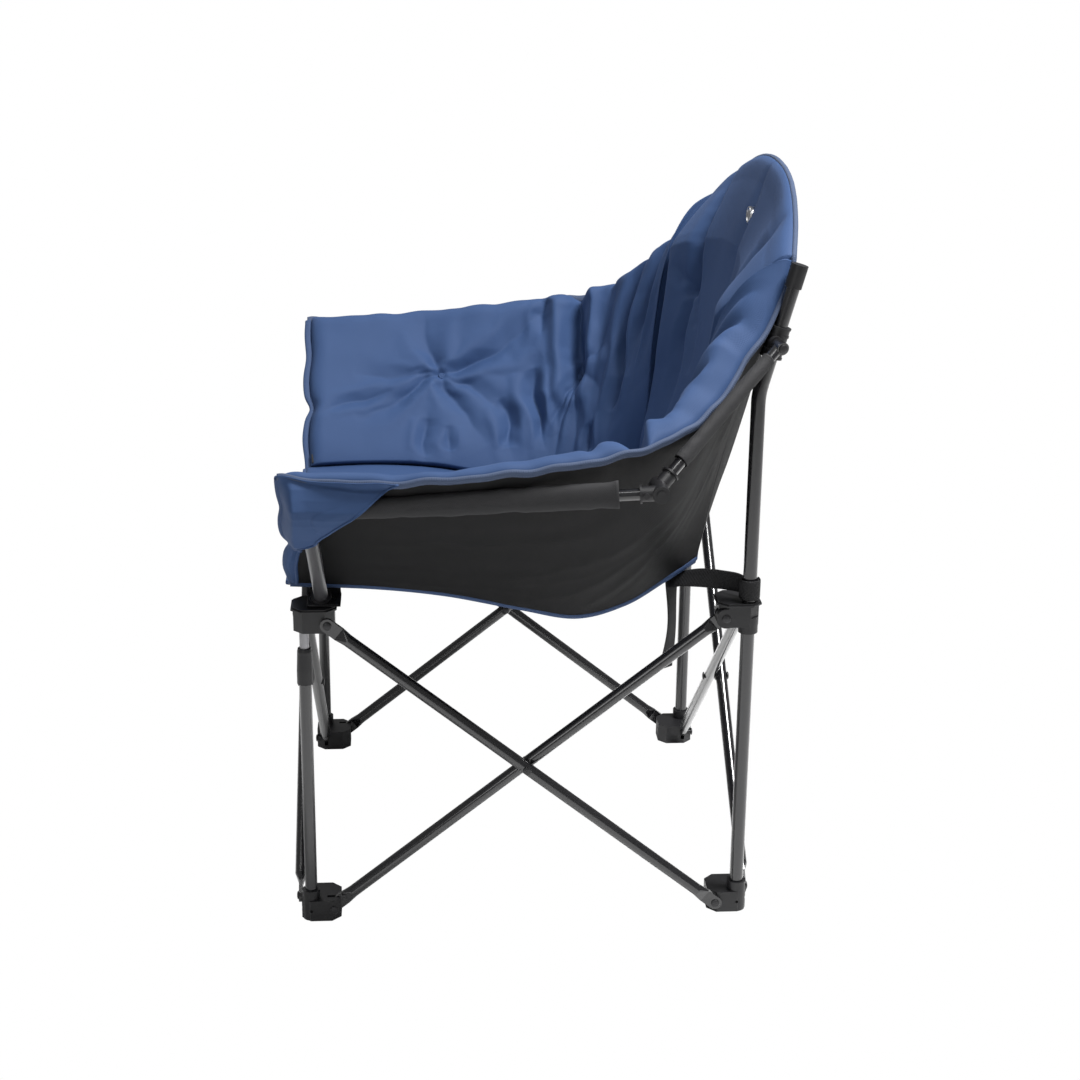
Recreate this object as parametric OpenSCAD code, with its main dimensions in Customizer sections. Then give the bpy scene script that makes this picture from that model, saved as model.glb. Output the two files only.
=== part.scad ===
// Folding camping chair with a padded bucket seat on a four-sided scissor frame.
// Each side of the square frame has one pair of crossed braces, and the whole frame folds
// to a bundle when the four hubs rise. Front is -Y, the sitter's left is +X, up is +Z.

/* [Frame] */
// Distance between the two brace pivots of one side, with the chair open
pivot_span = 506; // [480:2:530]
// Height of the brace pivots in the feet
foot_pivot_z = 16; // [15:0.5:18]
// Height of the brace pivots in the hubs, with the chair open
hub_pivot_z = 420; // [390:5:440]
// Outer diameter of a brace tube
brace_d = 16; // [14:0.5:17]
// Wall of every frame tube
tube_wall = 1.2; // [0.9:0.1:1.6]
// Length of a flattened brace end, from its rivet to where the tube starts to swell
flat_length = 19; // [17:0.5:22]
// Thickness of a flattened brace end
flat_t = 5; // [4:0.25:5.5]
// Width of a flattened brace end
flat_w = 18; // [16:0.5:19]
// Diameter of the frame rivets
rivet_d = 6; // [5:0.25:6.5]
// Diameter of a rivet head
rivet_head_d = 11; // [9:0.5:12]
// Height of a rivet head
rivet_head_h = 2.4; // [1.8:0.2:3]
// Gap between the two tubes of a crossed pair
brace_gap = 1; // [0.8:0.1:2]

/* [Feet] */
// Width of a foot across its flats
foot_w = 52; // [50:1:56]
// Height of a foot's block
foot_h = 29; // [27:0.5:31]
// Chamfer at the corners of a foot
foot_chamfer = 12; // [8:1:14]
// Distance from the brace pivots to the foot's centre line
foot_centre_offset = 17; // [16:0.5:18]
// Height of the socket collar above the foot's block
socket_rise = 13; // [8:1:16]

/* [Legs] */
// Outer diameter of the front leg tubes
leg_d = 16; // [15:0.5:18]
// Height of the top end of the front leg tubes
leg_top_z = 350; // [330:2:362]
// Diameter of the inner rods
rod_d = 12; // [10:0.5:12.5]
// Height of an inner rod's lower end, with the chair open
rod_bottom_z = 100; // [80:5:110]
// Length of the tapered collar above the leg tube's end
collar_rise = 34; // [26:1:34]
// Outer diameter of the rear poles
pole_d = 18; // [16:0.5:19]
// Height at which the rear poles start to lean back
pole_bend_z = 700; // [690:2:712]
// Length of the leaning part of a rear pole
pole_lean_length = 150; // [140:2:176]
// Lean of the upper part of the rear poles, in degrees
pole_lean_angle = 15; // [12:0.5:17]
// Radius of the bend in the rear poles
pole_bend_r = 90; // [60:5:100]

/* [Hubs] */
// Height of the hub's block above its pivots
hub_rise = 16; // [15:0.5:18]
// Depth of the hub's block below its pivots
hub_drop = 12; // [10:0.5:14]
// Thickness of the plate on top of a hub
plate_t = 4; // [3:0.5:5]
// Overhang of that plate beyond the hub's block
plate_overhang = 3; // [2:0.5:4]

/* [Arms] */
// Diameter of the arm posts
post_d = 18; // [16:0.5:19]
// Sideways place of an arm post's foot
post_foot_x = 262; // [258:0.5:264]
// Forward place of an arm post's foot
post_foot_y = 260; // [257:0.5:262]
// Sideways place of an arm post's top
post_top_x = 420; // [416:1:424]
// Forward place of an arm post's top
post_top_y = 268; // [264:1:274]
// Height of an arm post's top
post_top_z = 604; // [600:1:608]
// Diameter of the arm rails
rail_d = 14; // [12:0.5:15]
// Sideways place of the elbow between the arm rails
elbow_x = 440; // [437:1:446]
// Place of that elbow behind the middle of the frame
elbow_y = 143; // [136:1:150]
// Height of that elbow
elbow_z = 638; // [634:1:642]
// Sideways place of the rail bracket's pivot on a rear pole
bracket_x = 310; // [308:0.5:314]
// Height of the rail bracket's pivot
bracket_z = 778; // [772:1:784]

/* [Fabric] */
// Half the width over the rim at the front of the arms
rim_front_x = 414; // [410:1:418]
// Forward reach of the rim at the front of the arms
rim_front_y = 302; // [298:1:306]
// Height of the rim at the front of the arms
rim_front_z = 652; // [648:1:656]
// Half the width of the seat at its front edge
seat_front_x = 245; // [238:1:252]
// Height of the seat's lower front corners
seat_front_z = 459; // [454:1:464]
// Half the width of the seat at its rear edge
seat_rear_x = 205; // [190:1:215]
// Place of the seat's rear edge behind the middle of the frame
seat_rear_y = 222; // [210:1:230]
// Height of the seat's lower rear corners
seat_rear_z = 470; // [464:1:478]
// Height of the top of the back in the middle
back_top_z = 957; // [935:1:975]
// Place of the top of the back behind the middle of the frame
back_top_y = 346; // [342:1:352]
// Thickness of the outer fabric shell
shell_t = 1.6; // [1:0.2:2.5]
// Fullest thickness of the arm pads
arm_pad_t = 34; // [22:1:42]
// Fullest thickness of the back pad
back_pad_t = 44; // [26:1:52]
// Fullest thickness of the seat pad
seat_pad_t = 46; // [28:1:54]
// Depth of the sewn tufts
tuft_depth = 16; // [6:1:20]
// Width of the webbing straps
strap_w = 25; // [20:1:30]
// Thickness of the webbing straps
strap_t = 1.8; // [1.2:0.2:2.6]
// Length of the closure strap that hangs under the seat
tail_length = 165; // [120:5:180]

/* [Hidden] */

// Smoothness of round forms
$fn = 48;
// Smoothness inside blended transitions
blend_fn = 24;
// Overrun of every cut past the face it opens
cut = 1;
// Radial clearance of a rivet or tube in a hole of another piece
fit_gap = 0.08;
// Clearance between faces of pieces that move past each other
run_gap = 0.3;

// Places along the frame, all from the span between the pivots
pivot_half = pivot_span / 2;
block_centre = pivot_half + foot_centre_offset;
face = block_centre + foot_w / 2;
inner_edge = block_centre - foot_w / 2;
// The tubes stand near the outer corner of each foot and hub
leg_inset = 13;
leg_axis = face - leg_inset;
outer_plane = face + run_gap + flat_t / 2;
inner_plane = outer_plane - brace_d - brace_gap;
brace_rise = hub_pivot_z - foot_pivot_z;
brace_length = norm([pivot_span, brace_rise]);
brace_angle = atan2(brace_rise, pivot_span);
// The shell lies this far outside the pads' back face
shell_gap = 0.8;
// The origin is below the middle of the whole chair, which reaches further back than forward
front_reach = outer_plane + brace_d / 2 + run_gap + rivet_head_h;
rear_reach = back_top_y + shell_gap + shell_t;
origin_y = (front_reach - rear_reach) / 2;

// Colours as the photograph shows them
frame_colour = [0.16, 0.16, 0.17];
plastic_colour = [0.11, 0.11, 0.12];
steel_colour = [0.62, 0.63, 0.65];
shell_colour = [0.14, 0.14, 0.15];
pad_colour = [0.22, 0.36, 0.6];
strap_colour = [0.09, 0.09, 0.1];

// Moves a corner built at the left rear to another corner: sx and sy are +1 or -1
module at_corner(sx, sy) {
    translate([0, origin_y, 0])
        mirror([sx < 0 ? 1 : 0, 0, 0])
            mirror([0, sy < 0 ? 1 : 0, 0])
                children();
}

// Lays a cylinder between two points
module rod_between(a, b, d) {
    v = b - a;
    translate(a)
        rotate([0, acos(v[2] / norm(v)), atan2(v[1], v[0])])
            cylinder(d = d, h = norm(v));
}

// Outline of a foot or hub block: a square with cut corners
module block_outline(grow) {
    half = foot_w / 2 + grow;
    flat_half = half - foot_chamfer;
    translate([block_centre, block_centre])
        polygon([
            [half, -flat_half], [half, flat_half], [flat_half, half], [-flat_half, half],
            [-half, flat_half], [-half, -flat_half], [-flat_half, -half], [flat_half, -half]
        ]);
}

// Turns children modelled for the side plane into the end plane of the same corner
module swap_axes() {
    mirror([1, -1, 0])
        children();
}

// Wall of a hub's round lobe beyond the brace's flattened end
lobe_wall = 4;
lobe_r = flat_w / 2 + lobe_wall;
slot_start = min(inner_edge, pivot_half - lobe_r) - cut;

// Slot in which an inner brace's flattened end turns; low and high are how far it opens
module brace_slot(z, low, high) {
    slot_w = flat_t + 2 * run_gap;
    end_r = flat_w / 2 + run_gap;
    translate([inner_plane - slot_w / 2, slot_start, low])
        cube([slot_w, pivot_half - slot_start, high - low]);
    translate([inner_plane - slot_w / 2, pivot_half, z])
        rotate([0, 90, 0])
            cylinder(r = end_r, h = slot_w);
    opening_low = low < z ? low : z;
    translate([inner_plane - slot_w / 2, pivot_half - cut, (low < z - end_r) ? low : z])
        cube([slot_w, end_r + cut, (low < z - end_r) ? z - opening_low : high - z]);
}

// Domed rivet head that stands on the plane x = 0
module rivet_head() {
    rim_h = rivet_head_h / 3;
    head_r = rivet_head_d / 2;
    dome_h = rivet_head_h - rim_h;
    steps = 6;
    rotate([0, 90, 0])
        rotate_extrude()
            polygon(concat(
                [[0, 0], [head_r, 0]],
                [for (i = [0:steps]) [head_r * cos(90 * i / steps), rim_h + dome_h * sin(90 * i / steps)]]
            ));
}

// Depth at which the fixed rivets end inside a block
rivet_past_centre = 2;
rivet_end = face - foot_w / 2 - rivet_past_centre;

// Fixed rivet of the side plane, for an end that lies on the face or in the slot
module block_rivet(z, on_face) {
    head_x = on_face ? outer_plane + flat_t / 2 + run_gap : face;
    translate([rivet_end, pivot_half, z])
        rotate([0, 90, 0])
            cylinder(d = rivet_d, h = head_x - rivet_end);
    translate([head_x, pivot_half, z])
        rivet_head();
}

// Hole for that rivet
module block_rivet_hole(z) {
    translate([rivet_end - fit_gap, pivot_half, z])
        rotate([0, 90, 0])
            cylinder(d = rivet_d + 2 * fit_gap, h = face - rivet_end + cut);
}

// Height of the floor of the leg sockets
socket_floor = 6;

// Foot: a block with a leg socket, and a slot for each inner brace that ends in it
module foot(side_on_face, end_on_face, tube_d) {
    socket_wall = 3.4;
    screw_d = 4;
    screw_depth = 3;
    sole_inset = 5;
    sole_depth = 1.5;
    socket_r = tube_d / 2 + socket_wall;
    color(plastic_colour)
        difference() {
            union() {
                linear_extrude(foot_h)
                    block_outline(0);
                translate([leg_axis, leg_axis, 0])
                    cylinder(r = min(socket_r, leg_inset), h = foot_h + socket_rise);
            }
            translate([leg_axis, leg_axis, socket_floor])
                cylinder(d = tube_d + 2 * fit_gap, h = foot_h + socket_rise);
            translate([block_centre, block_centre, -cut])
                cylinder(d = foot_w - 2 * foot_chamfer + 2 * sole_inset, h = sole_depth + cut);
            if (!side_on_face)
                brace_slot(foot_pivot_z, foot_pivot_z - flat_w / 2 - run_gap, foot_h + cut);
            if (!end_on_face)
                swap_axes()
                    brace_slot(foot_pivot_z, foot_pivot_z - flat_w / 2 - run_gap, foot_h + cut);
            block_rivet_hole(foot_pivot_z);
            swap_axes()
                block_rivet_hole(foot_pivot_z);
            translate([face - screw_depth, leg_axis, foot_h / 2])
                rotate([0, 90, 0])
                    cylinder(d = screw_d, h = screw_depth + cut);
            translate([leg_axis, face - screw_depth, foot_h / 2])
                rotate([-90, 0, 0])
                    cylinder(d = screw_d, h = screw_depth + cut);
        }
}

module rivets(z, side_on_face, end_on_face) {
    color(steel_colour) {
        block_rivet(z, side_on_face);
        swap_axes()
            block_rivet(z, end_on_face);
    }
}

// Hub: a block with a top plate and a rounded lobe round each brace end
module hub_body(side_on_face, end_on_face) {
    top = hub_pivot_z + hub_rise;
    bottom = hub_pivot_z - hub_drop;
    lobe_in = 20;
    plate_bevel = plate_t / 2;
    difference() {
        union() {
            translate([0, 0, bottom])
                linear_extrude(top - bottom)
                    block_outline(0);
            translate([0, 0, top])
                linear_extrude(plate_t - plate_bevel)
                    block_outline(plate_overhang);
            translate([0, 0, top + plate_t - plate_bevel])
                linear_extrude(plate_bevel)
                    block_outline(plate_overhang - plate_bevel);
            if (!side_on_face)
                translate([face - lobe_in, pivot_half, hub_pivot_z])
                    rotate([0, 90, 0])
                        cylinder(r = lobe_r, h = lobe_in);
            if (!end_on_face)
                translate([pivot_half, face - lobe_in, hub_pivot_z])
                    rotate([-90, 0, 0])
                        cylinder(r = lobe_r, h = lobe_in);
        }
        if (!side_on_face)
            brace_slot(hub_pivot_z, bottom - lobe_r, hub_pivot_z + flat_w / 2 + run_gap);
        if (!end_on_face)
            swap_axes()
                brace_slot(hub_pivot_z, bottom - lobe_r, hub_pivot_z + flat_w / 2 + run_gap);
        block_rivet_hole(hub_pivot_z);
        swap_axes()
            block_rivet_hole(hub_pivot_z);
    }
}

// Depth of the rod's hole in a front hub, above its pivots
rod_depth = 14;
post_sink = 1;
post_foot = [post_foot_x, post_foot_y, hub_pivot_z + hub_rise + plate_t - post_sink];
post_top = [post_top_x, post_top_y, post_top_z];
post_way = (post_top - post_foot) / norm(post_top - post_foot);

// Front hub: carries the inner rod and the arm post
module front_hub(side_on_face, end_on_face) {
    boss_wall = 4;
    boss_rise = 16;
    color(plastic_colour)
        difference() {
            union() {
                hub_body(side_on_face, end_on_face);
                rod_between(post_foot, post_foot + post_way * boss_rise, post_d + 2 * boss_wall);
            }
            rod_between(post_foot, post_foot + post_way * 2 * boss_rise, post_d + 2 * fit_gap);
            translate([leg_axis, leg_axis, hub_pivot_z - hub_drop - cut])
                cylinder(d = rod_d + 2 * fit_gap, h = rod_depth + hub_drop + cut);
        }
}

// Rear hub: slides on the rear pole
module rear_hub(side_on_face, end_on_face) {
    sleeve_wall = 3.6;
    sleeve_drop = 10;
    low = hub_pivot_z - hub_drop - sleeve_drop;
    color(plastic_colour)
        difference() {
            union() {
                hub_body(side_on_face, end_on_face);
                translate([leg_axis, leg_axis, low])
                    cylinder(d = pole_d + 2 * sleeve_wall, h = sleeve_drop + hub_drop);
            }
            translate([leg_axis, leg_axis, low - cut])
                cylinder(d = pole_d + 2 * fit_gap, h = 2 * (sleeve_drop + hub_drop + hub_rise));
        }
}

// Front leg: a plain tube in its foot
module front_leg() {
    color(frame_colour)
        translate([leg_axis, leg_axis, socket_floor])
            difference() {
                cylinder(d = leg_d, h = leg_top_z - socket_floor);
                translate([0, 0, -cut])
                    cylinder(d = leg_d - 2 * tube_wall, h = leg_top_z + cut);
            }
}

// Tapered collar that guides the inner rod
module leg_collar() {
    skirt = 14;
    collar_wall = 2.4;
    lip = 4;
    bead = 1;
    big_r = leg_d / 2 + collar_wall;
    small_r = rod_d / 2 + collar_wall;
    color(plastic_colour)
        translate([leg_axis, leg_axis, leg_top_z])
            rotate_extrude()
                polygon([
                    [leg_d / 2 + fit_gap, -skirt], [big_r, -skirt], [big_r, lip],
                    [small_r + bead, collar_rise - 2 * lip], [small_r + bead, collar_rise - lip],
                    [small_r, collar_rise], [rod_d / 2 + fit_gap, collar_rise],
                    [rod_d / 2 + fit_gap, fit_gap], [leg_d / 2 + fit_gap, fit_gap]
                ]);
}

// Inner rod with its guide plug
module inner_rod() {
    rod_rest = 6;
    plug_length = 16;
    plug_d = leg_d - 2 * tube_wall - 4 * fit_gap;
    color(steel_colour)
        translate([leg_axis, leg_axis, 0]) {
            translate([0, 0, rod_bottom_z])
                cylinder(d = rod_d, h = hub_pivot_z + rod_depth - rod_bottom_z - rod_rest);
            translate([0, 0, rod_bottom_z])
                cylinder(d = plug_d, h = plug_length);
        }
}

// Rear pole: upright, then a bend, then a leaning part
bend_run = pole_bend_r * (1 - cos(pole_lean_angle));
bend_climb = pole_bend_r * sin(pole_lean_angle);
lean_start = [leg_axis, leg_axis + bend_run, pole_bend_z + bend_climb];
lean_way = [0, sin(pole_lean_angle), cos(pole_lean_angle)];
lean_end = lean_start + lean_way * pole_lean_length;

// The straight parts run a little into the bend, which is slightly thicker
bend_lap = 1;
bend_swell = 0.3;

module pole_bend(d) {
    translate([leg_axis, leg_axis + pole_bend_r, pole_bend_z])
        rotate([90, 0, -90])
            rotate_extrude(angle = pole_lean_angle)
                translate([pole_bend_r, 0])
                    circle(d = d + bend_swell);
}

module lean_part(d, length) {
    translate(lean_start - lean_way * bend_lap)
        rotate([-pole_lean_angle, 0, 0])
            cylinder(d = d, h = length + bend_lap);
}

module rear_pole() {
    inside = pole_d - 2 * tube_wall;
    upright = pole_bend_z + bend_lap - socket_floor;
    color(frame_colour)
        difference() {
            union() {
                translate([leg_axis, leg_axis, socket_floor])
                    cylinder(d = pole_d, h = upright);
                pole_bend(pole_d);
                lean_part(pole_d, pole_lean_length);
            }
            translate([leg_axis, leg_axis, socket_floor - cut])
                cylinder(d = inside, h = upright + cut);
            pole_bend(inside);
            lean_part(inside, pole_lean_length + cut);
        }
}

// Closed cap on the top end of a rear pole
module pole_cap() {
    cap_wall = 1.8;
    cap_skirt = 24;
    cap_top = 5;
    color(plastic_colour)
        difference() {
            rod_between(lean_end - lean_way * cap_skirt, lean_end + lean_way * cap_top,
                pole_d + 2 * cap_wall);
            rod_between(lean_end - lean_way * (cap_skirt + cut), lean_end + lean_way * fit_gap,
                pole_d + 2 * fit_gap);
        }
}

// Place of the rail bracket on the leaning part of the pole
bracket_drop = (bracket_z - lean_start[2]) / lean_way[2];
bracket_on_pole = lean_start + lean_way * bracket_drop;
bracket_pivot = [bracket_x, bracket_on_pole[1], bracket_on_pole[2]];

// The rails fold on tilted pins: turn is about the upright, tilt lifts the outer end
front_pin_turn = 16.826;
front_pin_tilt = -9.211;
rear_pin_turn = 18.924;
rear_pin_tilt = -6.747;
// Length of a rail's eye on the side that the rail leans away from, and on the other side
eye_short = 7.6;
eye_long = 9.5;
eye_d = 16;
ear_d = 19;
ear_t = 5;

// Places children with their X axis along a tilted pin
module on_pin(at, turn, tilt) {
    translate(at)
        rotate([0, -tilt, turn])
            children();
}

// Cylinder along a pin from x = a to x = b
module pin_round(a, b, d) {
    translate([a, 0, 0])
        rotate([0, 90, 0])
            cylinder(d = d, h = b - a);
}

// Point at x on a tilted pin
function pin_point(at, turn, tilt, x) = at + x * [cos(tilt) * cos(turn), cos(tilt) * sin(turn), sin(tilt)];

// Rail bracket: a ribbed clamp round the pole, with an arm, an ear and a pin for the rear rail
module rail_bracket() {
    clamp_wall = 4;
    clamp_length = 40;
    rib_count = 5;
    rib_t = 2.4;
    rib_rise = 1;
    arm_d = 13;
    ear_face = eye_short + run_gap;
    pin_end = eye_long + run_gap;
    clamp_r = pole_d / 2 + clamp_wall;
    color(plastic_colour)
        difference() {
            union() {
                translate(bracket_on_pole)
                    rotate([-pole_lean_angle, 0, 0]) {
                        translate([0, 0, -clamp_length / 2])
                            cylinder(r = clamp_r, h = clamp_length);
                        for (i = [0:rib_count - 1])
                            translate([0, 0, (i / (rib_count - 1) - 0.5) * (clamp_length - rib_t) - rib_t / 2])
                                cylinder(r = clamp_r + rib_rise, h = rib_t);
                    }
                rod_between(bracket_on_pole,
                    pin_point(bracket_pivot, rear_pin_turn, rear_pin_tilt, -ear_face - ear_t), arm_d);
                on_pin(bracket_pivot, rear_pin_turn, rear_pin_tilt) {
                    pin_round(-ear_face - ear_t, -ear_face, ear_d);
                    pin_round(-ear_face, pin_end, rivet_d);
                    translate([pin_end, 0, 0])
                        rivet_head();
                }
            }
            translate(bracket_on_pole)
                rotate([-pole_lean_angle, 0, 0])
                    translate([0, 0, -clamp_length])
                        cylinder(d = pole_d + 2 * fit_gap, h = 2 * clamp_length);
        }
}

// The front rail turns on a pin just behind the post's top, in the corner's frame
fork_gap = 2;
fork_rise = 6;
rail_front = [post_top_x, post_top_y - post_d / 2 - rail_d / 2 - fork_gap, post_top_z + fork_rise];

// Arm post: a tube from the hub, with an ear and a pin for the front rail
module arm_post() {
    inside = post_d - 2 * tube_wall;
    stub = 6;
    cap_rise = 5;
    cap_skirt = 9;
    cap_wall = 0.8;
    arm_d = 12;
    head_h = 1.6;
    head_d = 9;
    ear_face = eye_short + run_gap;
    pin_end = -eye_long - run_gap;
    outer = pin_point(rail_front, front_pin_turn, front_pin_tilt, ear_face + ear_t / 2) - rail_front;
    reach = norm(post_top - rail_front);
    color(frame_colour) {
        difference() {
            union() {
                rod_between(post_foot + post_way * fit_gap, post_top, post_d);
                rod_between(post_top - post_way * cap_skirt, post_top + post_way * cap_rise,
                    post_d + 2 * cap_wall);
                rod_between(post_top, post_top + outer, arm_d);
                on_pin(rail_front, front_pin_turn, front_pin_tilt) {
                    pin_round(ear_face, ear_face + ear_t, ear_d);
                    pin_round(ear_face, ear_face + ear_t + head_h, head_d);
                    translate([ear_face, -ear_d / 2, -ear_d / 2])
                        cube([ear_t, ear_d / 2 + reach, ear_d]);
                }
            }
            rod_between(post_foot, post_top - post_way * stub, inside);
            on_pin(rail_front, front_pin_turn, front_pin_tilt)
                pin_round(-reach, ear_face, eye_d + 2 * run_gap);
        }
        on_pin(rail_front, front_pin_turn, front_pin_tilt) {
            pin_round(pin_end, ear_face + cut, rivet_d);
            pin_round(pin_end - head_h, pin_end, head_d);
        }
    }
}

elbow_wall = 3;
elbow_r = rail_d / 2 + elbow_wall;
elbow_shift = elbow_r + run_gap / 2;
elbow_front = [elbow_x + elbow_shift, -elbow_y, elbow_z];
elbow_rear = [elbow_x - elbow_shift, elbow_y, elbow_z];
front_rail_way = (elbow_front - rail_front) / norm(elbow_front - rail_front);
rear_rail_way = (elbow_rear - bracket_pivot) / norm(elbow_rear - bracket_pivot);
// Each rail ends short of the elbow's pin
elbow_stop = 10;

// Rail: a tube from an eye to the elbow; the eye reaches from x = low to x = high on its pin
module rail(from, stop, way, turn, tilt, low, high) {
    inside = rail_d - 2 * tube_wall;
    color(frame_colour)
        difference() {
            union() {
                rod_between(from, stop, rail_d);
                on_pin(from, turn, tilt)
                    pin_round(low, high, eye_d);
            }
            rod_between(from + way * eye_d, stop + way * cut, inside);
            on_pin(from, turn, tilt)
                pin_round(low - cut, high + cut, rivet_d + 2 * fit_gap);
        }
}

// Front rail, in the front corner's frame
module front_rail() {
    rail(rail_front, elbow_front - front_rail_way * elbow_stop, front_rail_way,
        front_pin_turn, front_pin_tilt, -eye_long, eye_short);
}

// Rear rail, in the rear corner's frame
module rear_rail() {
    rail(bracket_pivot, elbow_rear - rear_rail_way * elbow_stop, rear_rail_way,
        rear_pin_turn, rear_pin_tilt, -eye_short, eye_long);
}

// Elbow half: a barrel on the rail's end and a round lug at the hinge; side is +1 or -1
module elbow_half(at, way, side) {
    barrel_length = 14;
    barrel_inset = 0.8;
    lug_rise = 0.4;
    rim_t = 2.5;
    head_d = 7;
    head_h = 1.6;
    head_in = 7;
    barrel_start = at - way * (elbow_stop + barrel_length);
    color(plastic_colour)
        difference() {
            union() {
                rod_between(barrel_start, at, 2 * (elbow_r - barrel_inset));
                rod_between(barrel_start, barrel_start + way * rim_t, 2 * elbow_r + rim_t);
                translate(at - [elbow_r, 0, 0])
                    rotate([0, 90, 0])
                        cylinder(r = elbow_r + lug_rise, h = 2 * elbow_r);
                translate(at - way * (elbow_stop + head_in) + [side * elbow_r - head_h, 0, 0])
                    rotate([0, 90, 0])
                        cylinder(d = head_d, h = 2 * head_h);
                translate(at + [side * elbow_r - head_h, 0, 0])
                    rotate([0, 90, 0])
                        cylinder(d = rivet_head_d, h = 2 * head_h);
            }
            rod_between(barrel_start - way * cut, at - way * (elbow_stop - fit_gap), rail_d + 2 * fit_gap);
        }
}

// Brace along +X from its lower rivet, flat ends in the XY plane, crossing hole in the middle
module brace() {
    hole_d = rivet_d + 2 * fit_gap;
    swell = 12;
    tube_from = flat_length + swell;
    color(frame_colour)
        difference() {
            union() {
                translate([tube_from, 0, 0])
                    rotate([0, 90, 0])
                        cylinder(d = brace_d, h = brace_length - 2 * tube_from);
                for (end = [0, 1])
                    translate([end * brace_length, 0, 0])
                        mirror([end, 0, 0]) {
                            translate([0, 0, -flat_t / 2])
                                cylinder(d = flat_w, h = flat_t);
                            translate([0, -flat_w / 2, -flat_t / 2])
                                cube([flat_length, flat_w, flat_t]);
                            hull() {
                                translate([flat_length - cut, -flat_w / 2, -flat_t / 2])
                                    cube([cut, flat_w, flat_t]);
                                translate([tube_from, 0, 0])
                                    rotate([0, 90, 0])
                                        cylinder(d = brace_d, h = cut, $fn = blend_fn);
                            }
                        }
            }
            for (x = [0, brace_length])
                translate([x, 0, -flat_t])
                    cylinder(d = hole_d, h = 2 * flat_t);
            translate([brace_length / 2, 0, -brace_d])
                cylinder(d = hole_d, h = 2 * brace_d);
            translate([tube_from, 0, 0])
                rotate([0, 90, 0])
                    cylinder(d = brace_d - 2 * tube_wall, h = brace_length - 2 * tube_from);
        }
}

// Turns a piece built in the left side's plane to side k: 0 left, 1 rear, 2 right, 3 front
module on_side(k) {
    translate([0, origin_y, 0])
        rotate([0, 0, 90 * k])
            children();
}

// Puts a brace on side k, with its foot at the given end, in the outer or the inner plane
module placed_brace(k, start, outer) {
    on_side(k)
        translate([outer ? outer_plane : inner_plane, start * pivot_half, foot_pivot_z])
            rotate([start > 0 ? 180 - brace_angle : brace_angle, 0, 0])
                rotate([90, 0, 90])
                    brace();
}

// Rivet and washer where the two braces of side k cross
module cross_rivet(k) {
    washer_d = 13;
    washer_slack = 0.1;
    mid_z = (foot_pivot_z + hub_pivot_z) / 2;
    low = inner_plane - brace_d / 2 - run_gap;
    high = outer_plane + brace_d / 2 + run_gap;
    mid = (inner_plane + outer_plane) / 2;
    color(steel_colour)
        on_side(k)
            translate([0, 0, mid_z]) {
                translate([low, 0, 0])
                    rotate([0, 90, 0])
                        cylinder(d = rivet_d, h = high - low);
                translate([mid - brace_gap / 2 + washer_slack, 0, 0])
                    rotate([0, 90, 0])
                        cylinder(d = washer_d, h = brace_gap - 2 * washer_slack);
                translate([high, 0, 0])
                    rivet_head();
                translate([low, 0, 0])
                    mirror([1, 0, 0])
                        rivet_head();
            }
}

// Smooth value between listed values at an even spacing, share from 0 to 1
function smooth_at(list, share) =
    let (n = len(list) - 1,
         place = min(max(share, 0), 1) * n,
         i = min(floor(place), n - 1),
         f = place - i,
         a = list[max(i - 1, 0)], b = list[i], c = list[i + 1], d = list[min(i + 2, n)])
    0.5 * (2 * b + (c - a) * f + (2 * a - 5 * b + 4 * c - d) * f * f
        + (3 * b - a - 3 * c + d) * f * f * f);

// Rim of the left side from the front of the arm to the pole, in named sizes and shares of them
rim_inset = 21;
rim_ahead = 8;
rim_drop = 12;
rim_back_x = leg_axis - rim_inset;
rim_back_y = lean_end[1] - rim_ahead;
rim_back_z = lean_end[2] - rim_drop;
arm_run = rim_back_y + rim_front_y;
arm_climb = rim_back_z - rim_front_z;
arm_drawn = rim_front_x - rim_back_x;
rim_y_shares = [0, 0.163, 0.323, 0.475, 0.611, 0.736, 0.835, 0.918, 1];
rim_z_shares = [0, -0.009, 0.018, 0.062, 0.111, 0.182, 0.311, 0.587, 1];
rim_x_shares = [0, -0.151, -0.197, -0.197, -0.15, 0.026, 0.342, 0.711, 1];
side_rim = [for (i = [0:len(rim_y_shares) - 1]) [
    rim_front_x - arm_drawn * rim_x_shares[i],
    -rim_front_y + arm_run * rim_y_shares[i],
    rim_front_z + arm_climb * rim_z_shares[i]
]];

// Lower edge of the left side from the seat's front corner to its rear corner
seat_sag = 52;
seat_run = seat_rear_y + rim_front_y;
seat_drawn = seat_front_x - seat_rear_x;
hem_y_shares = [0, 0.2, 0.38, 0.56, 0.7, 0.82, 0.92, 1];
hem_sag_shares = [0, 0.05, 0.25, 0.67, 1, 0.79, 0.35, 0];
hem_x_shares = [0, -0.32, -0.5, -0.5, -0.32, -0.02, 0.48, 1];
side_hem = [for (i = [0:len(hem_y_shares) - 1]) [
    seat_front_x - seat_drawn * hem_x_shares[i],
    -rim_front_y + seat_run * hem_y_shares[i],
    seat_front_z + (seat_rear_z - seat_front_z) * hem_y_shares[i] - seat_sag * hem_sag_shares[i]
]];

// Surface of the left side: u runs from front to rear, v from the hem to the rim
side_bulge = 6;
function side_point(u, v) =
    let (low = smooth_at(side_hem, u), high = smooth_at(side_rim, u))
    low + (high - low) * v + side_bulge * sin(180 * u) * sin(180 * v) * [1, u, -u];

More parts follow.
